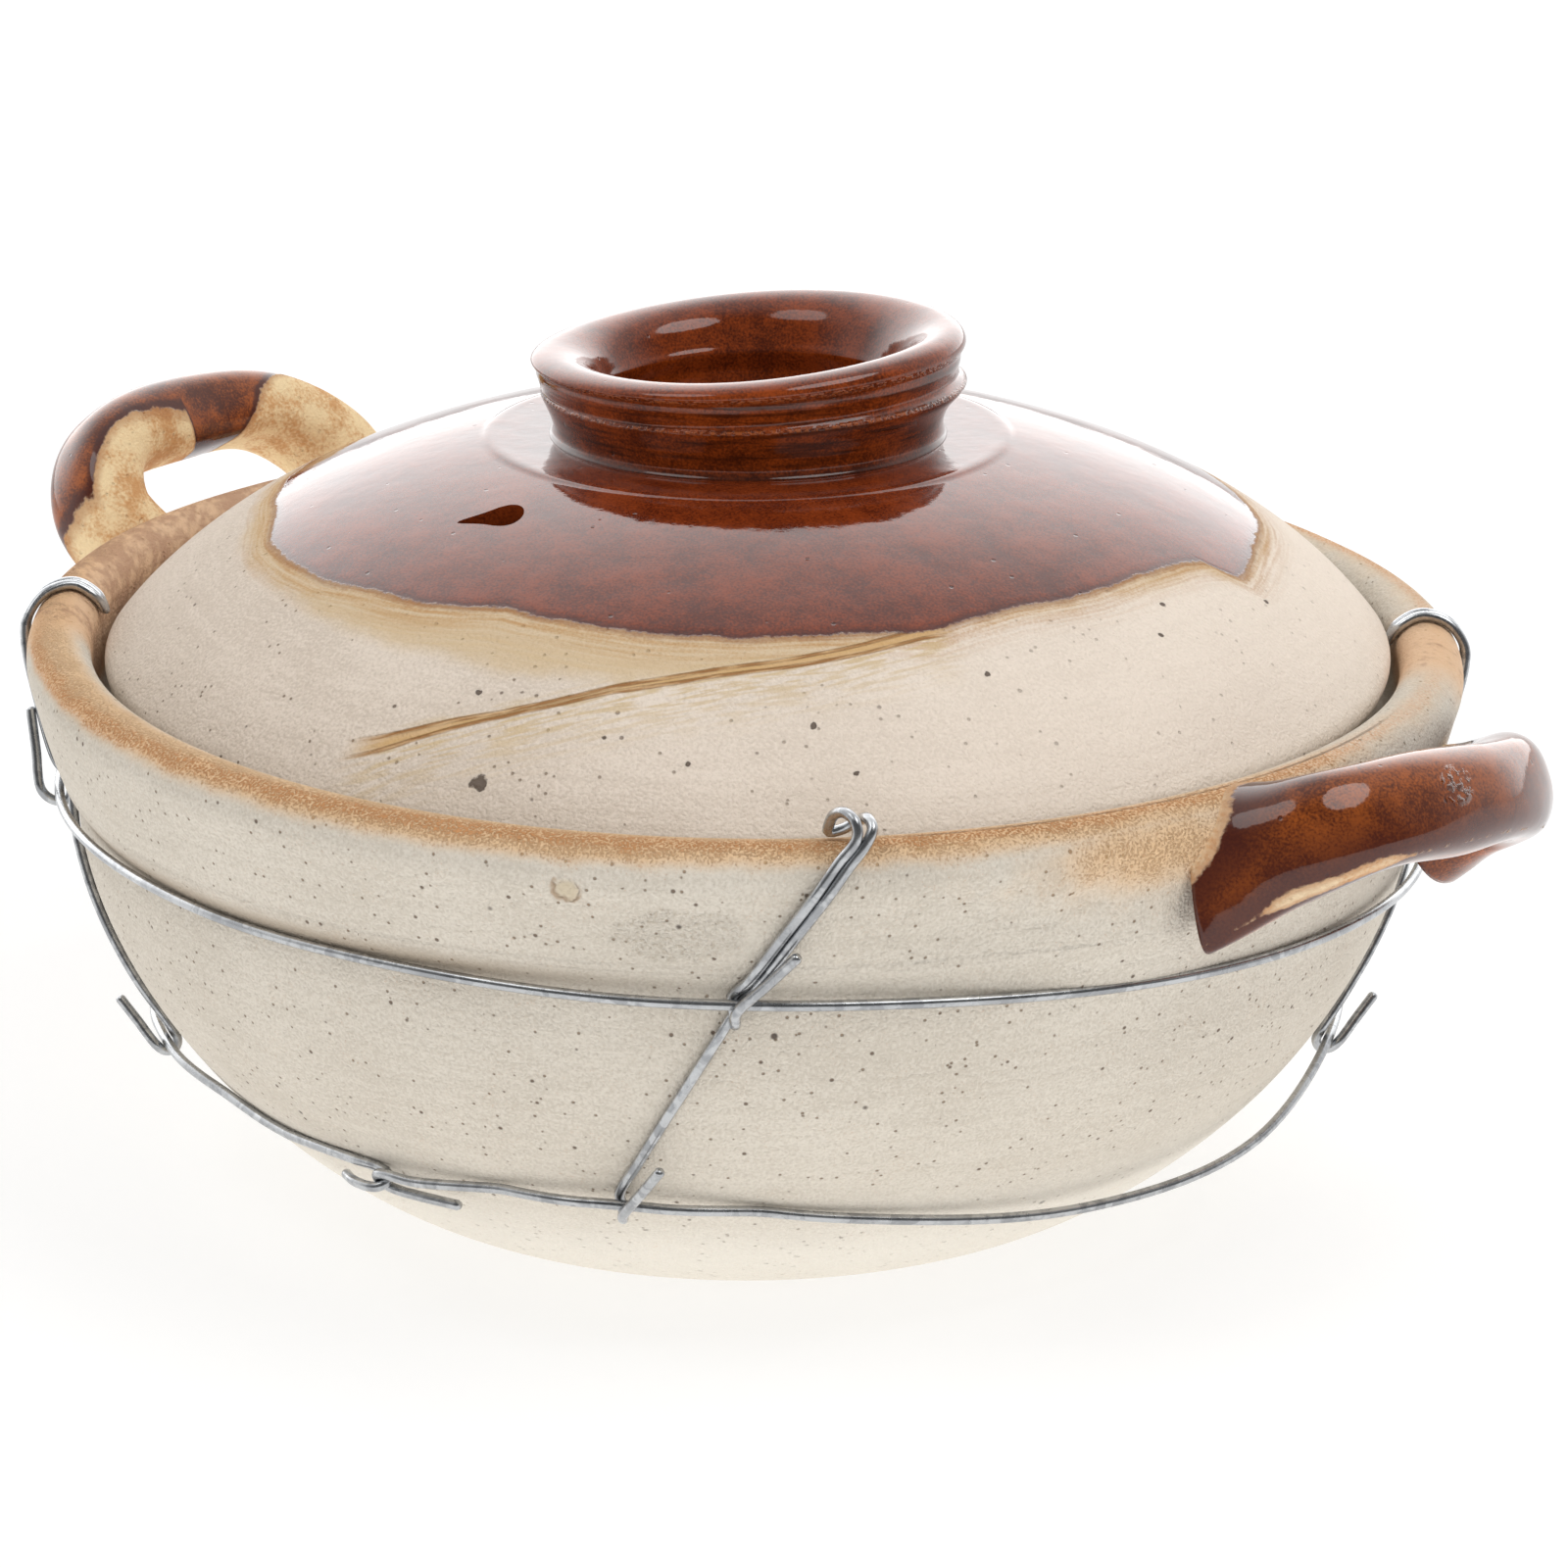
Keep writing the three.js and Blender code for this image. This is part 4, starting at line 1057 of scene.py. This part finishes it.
# Painted light: the clay grows paler towards the foot, as light from the floor would make it.
colour = mixed(paint, colour, coloured(236, 231, 221), between(axes.beside("Z") / MM, 30, 8) * 0.75)
toast = attribute(paint, "toast")
below = attribute(paint, "below")
grit = grain(paint, 0.38, 2)
blotch = grain(paint, 6, 4)
warm = between(toast + 0.4 * (blotch - 0.5), 0.02, 0.8)
colour = mixed(paint, colour, TOAST_PALE, warm * 0.72)
from_deepest = attribute(paint, "from_deepest") - 3 * (blotch - 0.5)
core = between(from_deepest.maths("ABSOLUTE"), 2.4, 0.5) * between(toast, 0.1, 0.55)
colour = mixed(paint, colour, coloured(212, 140, 76), core * between(grit, 0.3, 0.62) * 0.7)
grains = between(0.75 * toast + 3.0 * (grit - 0.5) + 0.8 * (blotch - 0.5), 0.35, 1.1)
colour = mixed(paint, colour, TOAST_DEEP, grains * between(below, -2, 1.5) * 0.4)
around = axes.beside("Y").maths("ARCTAN2", axes.beside("X"))
stroke = paint.node("CombineXYZ", {}, {0: around * 55 + below * 0.3, 1: below * 0.5})
brushed = paint.node("TexNoise", {}, {"Vector": stroke, "Scale": 1.0, "Detail": 4.0})
scorch = attribute(paint, "scorch")
smoke = between(scorch + 1.8 * (brushed - 0.5) + 1.5 * (blotch - 0.5), 0.55, 1.2) * between(scorch, 0, 0.3)
colour = mixed(paint, colour, coloured(222, 178, 134), between(scorch, 0.05, 0.5) * 0.75)
colour = mixed(paint, colour, coloured(134, 84, 68), smoke * 0.45)
print("toast and smoke on", material.name)

# %% [markdown]
# Small marks come next: a painted shade under the ledge, a chip with a brown ring, a patch where the skin
# peeled, and the dents that thumbs pressed in beside the handle. Inside, the pot is glazed. The chip and the
# peeled patch colour the clay and also move the bump, because a mark without relief looks printed.

# %% Marks and inner glaze
# Painted shade under the ledge: the clay is darkened along the band that the field marks.
colour = mixed(paint, colour, coloured(150, 128, 102), attribute(paint, "ledge_shade") * 0.55)
chip = spot(paint, -67.4, 114.3, 82.6) + 2.2 * (grain(paint, 2, 2) - 0.5)
chip_ring = between(chip, 1.3, 1.9) * between(chip, 2.7, 2.2)
broken = between(grain(paint, 2.6, 2), 0.42, 0.6)
colour = mixed(paint, colour, coloured(150, 116, 76), chip_ring * broken * 0.6)
colour = mixed(paint, colour, coloured(198, 182, 152), between(chip, 2.1, 1.2) * 0.7)
peel = grain(paint, 0.6, 3)
peeled = between(spot(paint, -59.5, 112.6, 75.5, 2.2) + 12 * (blotch - 0.5), 11, 8.5)
colour = mixed(paint, colour, coloured(176, 162, 142), peeled * between(peel, 0.5, 0.68) * 0.5)
pressed = attribute(paint, "pressed")
glazed = between(attribute(paint, "glazed_inside") + 3 * (blotch - 0.5), -0.4, 0.6)
inner, swell = brown_glaze(paint, GLAZE_DARK, GLAZE_AMBER)
colour = mixed(paint, colour, inner, glazed)
bumps = bumps + 0.25 * grains * warm - 0.3 * between(chip, 2.2, 1.6) + (0.7 * peel - 0.45) * peeled
bumps = bumps + 2.2 * pressed * grain(paint, 8, 4) + 0.4 * attribute(paint, "crease")
finished(paint, colour, 0.86 - 0.8 * glazed, bumps * (1 - glazed) + (swell + 0.3) * glazed)
pot_body.data.materials.append(material)
print(material.name, "on", pot_body.name)

# %% [markdown]
# ## Finish of the lid
#
# The lid is a warmer clay with fewer specks. Wiping left an ochre veil with fine lines that run along the
# glaze's edge, so their noise is stretched round the lid and counted outwards from that edge.

# %% Lid clay and veil
material, paint = new_paint("clay_and_glaze_lid")
colour, bumps = clay(paint, coloured(227, 213, 198), coloured(208, 193, 177), 0.45)
axes = paint.node("SeparateXYZ", {}, {0: place_of(paint)})
# Painted light: the lid's clay is paler towards its right side, where the light falls stronger.
lit_right_side = between((0.82 * axes.beside("X") + 0.57 * axes.beside("Y")) / MM, -70, 95)
colour = mixed(paint, colour, coloured(246, 232, 217), lit_right_side * 0.6)
around = axes.beside("Y").maths("ARCTAN2", axes.beside("X"))
wave = grain(paint, 6, 3)
edge = attribute(paint, "glaze") + 1.6 * (wave - 0.5) + 0.9 * (grain(paint, 0.8, 2) - 0.5)
veil = attribute(paint, "veil")
streak = attribute(paint, "streak")
wiping = paint.node("CombineXYZ", {}, {0: attribute(paint, "glaze") * 1.5 + wave * 0.5, 1: around * 4})
wiped_lines = paint.node("TexNoise", {}, {"Vector": wiping, "Scale": 1.0, "Detail": 3.0})
grit = grain(paint, 0.45, 3)
wiped = between(veil + 3 * (wave - 0.5), -1.0, 3.0)
colour = mixed(paint, colour, coloured(208, 180, 136), wiped * (0.5 + 0.45 * wiped_lines))
rust = between(edge, -7, -0.5) * between(wiped_lines + 0.5 * grit, 0.55, 1.0)
colour = mixed(paint, colour, coloured(182, 130, 70), rust * 0.75)
colour = mixed(paint, colour, coloured(128, 70, 34), between(edge, -1.5, -0.2) * 0.5)
print("veil on", material.name)

# %% [markdown]
# One stroke of the sponge crosses the slope: a tan line between two brown furrows, with feathers above it.
# The distance from the stroke draws all three, and a few large specks lie where they are on the real lid.

# %% Sponge stroke and specks
SPECKS = [(-77.4, 99.4, 1.5), (-30.8, 85.3, 0.6), (-67.5, 92.7, 0.6), (-48.8, 90.6, 0.7), (-45.7, 96.8, 0.5)]
SPECKS += [(-80.8, 88.6, 0.6), (-59.9, 95.4, 0.6), (10.1, 87.7, 0.6), (-4.9, 81.3, 0.6), (-8.9, 85.4, 0.5)]
stroke = paint.node("CombineXYZ", {}, {0: streak * 1.6, 1: around * 14})
bristle = paint.node("TexNoise", {}, {"Vector": stroke, "Scale": 1.0, "Detail": 3.0})
off = (streak + 0.8 * (grain(paint, 14, 2) - 0.5)).maths("ABSOLUTE")
stroked = between(attribute(paint, "astray"), 5, 0)
spread = attribute(paint, "spread")
line = between(off - spread, 0.5, 0) * stroked
furrow = between((off - spread).maths("ABSOLUTE"), 0.42, 0.15) * stroked
feather = between(streak, 11, 1) * between(streak, -2.5, 0) * between(bristle, 0.42, 0.62) * stroked
colour = mixed(paint, colour, coloured(205, 178, 132), feather * 0.75)
colour = mixed(paint, colour, coloured(206, 164, 106), line * 0.8)
colour = mixed(paint, colour, coloured(146, 98, 50), furrow * between(bristle, 0.3, 0.6) * 0.9)
pebble = grain(paint, 1.0, 3)
for azimuth, radius, size in SPECKS:
    height = float(np.interp(radius, *over.T))
    dark = between(spot(paint, azimuth, radius, height) + 1.6 * size * (pebble - 0.5), size, 0.75 * size)
    colour = mixed(paint, colour, coloured(82, 66, 54), dark * 0.9)
    bumps = bumps + 0.35 * dark
print("stroke and", len(SPECKS), "large specks on", material.name)

# %% Lid glaze
mask = between(edge, -0.3, 0.3)
glaze, swell = brown_glaze(paint, GLAZE_DARK, GLAZE_AMBER)
glaze = mixed(paint, glaze, coloured(62, 24, 20), between(edge, 1.6, 0.2) * 0.75)
colour = mixed(paint, colour, glaze, mask)
bumps = bumps - 0.25 * furrow + 0.1 * wiped_lines * wiped
glaze_height = swell + 0.36 + 0.04 * between(edge, 0, 2)
finished(paint, colour, 0.84 - 0.78 * mask, bumps * (1 - mask) + glaze_height * mask)
lid.data.materials.append(material)
print(material.name, "on", lid.name)

# %% [markdown]
# ## Finish of the knob
#
# The glaze runs off the edges and shows paler clay there, and it gathers in the turning lines and at the
# foot. The height on the knob, stored on the mesh, says where: dark lines on the wall, thin glaze on the
# fin and the lip's edge.

# %% Knob finish
material, paint = new_paint("brown_glaze_knob")
colour, swell = brown_glaze(paint, coloured(78, 29, 10), coloured(142, 62, 20))
rise = attribute(paint, "rise")
combed = grain(paint, 0.9, 4, (0.06, 0.06, 1))
on_wall = between(rise, 1.0, 2.5) * between(rise, 13, 12.2)
colour = mixed(paint, colour, coloured(52, 20, 9), on_wall * between(combed, 0.45, 0.65) * 0.8)
flecks = between(grain(paint, 0.8, 4), 0.42, 0.6)
thin = between((rise - FIN_RISE).maths("ABSOLUTE"), 0.45, 0.1)
thin = thin + between((rise - EDGE_RISE).maths("ABSOLUTE"), 0.5, 0.1)
colour = mixed(paint, colour, coloured(176, 98, 52), thin * flecks * 0.5)
colour = mixed(paint, colour, coloured(30, 13, 9), between(rise, 1.2, 0.3) * between(rise, -0.2, 0.1) * 0.6)
relief = swell + 0.07 * on_wall * combed + 0.15 * thin * flecks
finished(paint, colour, 0.05 + 0.06 * grain(paint, 4, 2), relief)
knob.data.materials.append(material)
print(material.name, "on", knob.name)

# %% [markdown]
# ## Finish of the handles
#
# Both were dipped and drained, so the glaze stops at a ragged edge and leaves sallow clay bare. They share
# one recipe; the left one is more mottled, and the right one is dark for a long way from the edge and has
# a rough scab of glaze on its bend.

# %% Handle finishes
HANDLE_LOOKS = [(handle_right, 0.7, 0.55, 11.0), (handle_left, 1.0, 0.9, 2.0)]
for piece, sallow, drifting, dark_width in HANDLE_LOOKS:
    material, paint = new_paint("glaze_on_" + piece.name)
    colour, bumps = clay(paint, CLAY_PALE, CLAY_DARK)
    patches = grain(paint, 7, 4)
    colour = mixed(paint, colour, coloured(241, 215, 170), sallow)
    mottled = between(patches + 0.5 * (grain(paint, 0.6, 4) - 0.5), 0.4, 0.68)
    colour = mixed(paint, colour, coloured(204, 148, 92), mottled * sallow * 0.9)
    edge = attribute(paint, "glaze") + 2.0 * (grain(paint, 4.5, 3) - 0.5) + 1.0 * (grain(paint, 0.9, 2) - 0.5)
    colour = mixed(paint, colour, coloured(166, 106, 60), between(edge, -2.2, -0.2) * 0.6)
    mask = between(edge, -0.25, 0.35)
    glaze, swell = brown_glaze(paint, coloured(82, 35, 14), coloured(156, 80, 28), drifting)
    glaze = mixed(paint, glaze, coloured(66, 28, 22), between(edge, dark_width, 0.9) * 0.88)
    colour = mixed(paint, colour, glaze, mask)
    if piece is handle_right:
        scab = between(spot(paint, -4.6, 133.4, 88.6) + 2.5 * (patches - 0.5), 3.6, 2.6)
        crust = scab * between(grain(paint, 1.3, 3), 0.45, 0.58)
        colour = mixed(paint, colour, coloured(66, 30, 14), crust * 0.7)
        swell = swell + 0.5 * crust
    finished(paint, colour, 0.84 - 0.77 * mask, bumps * (1 - mask) + (swell + 0.3) * mask)
    piece.data.materials.append(material)
    print(material.name, "on", piece.name)

# %% [markdown]
# ## Finish of the wire
#
# Zinc on drawn wire is grey and half dull, with scratches that run along it. The length along each wire is
# stored on the mesh, and noise that is stretched along it makes the scratches, which follow every bend.

# %% Wire finish
material, paint = new_paint("zinc_wire")
along = attribute(paint, "run")
dull = grain(paint, 2.5, 2)
scratch = paint.node("CombineXYZ", {}, {0: along * 0.08, 1: dull * 4})
drawn = paint.node("TexNoise", {}, {"Vector": scratch, "Scale": 1.0, "Detail": 2.0})
colour = mixed(paint, coloured(162, 164, 167), coloured(198, 200, 202), between(drawn, 0.35, 0.65))
finished(paint, colour, 0.2 + 0.14 * dull, 0.008 * drawn, Metallic=1.0)
for piece in wires.values():
    piece.data.materials.append(material)
print(material.name, "on", len(wires), "wires")

# %% [markdown]
# ## Sizes
#
# The dressed pot has to keep the size of the imported one, so both boxes are printed.

# %% Sizes
boxes = {"cad": cad_box, "visual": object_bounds()}
boxes = {name: [[float(c) for c in corner] for corner in box] for name, box in boxes.items()}
print("sizes", boxes)
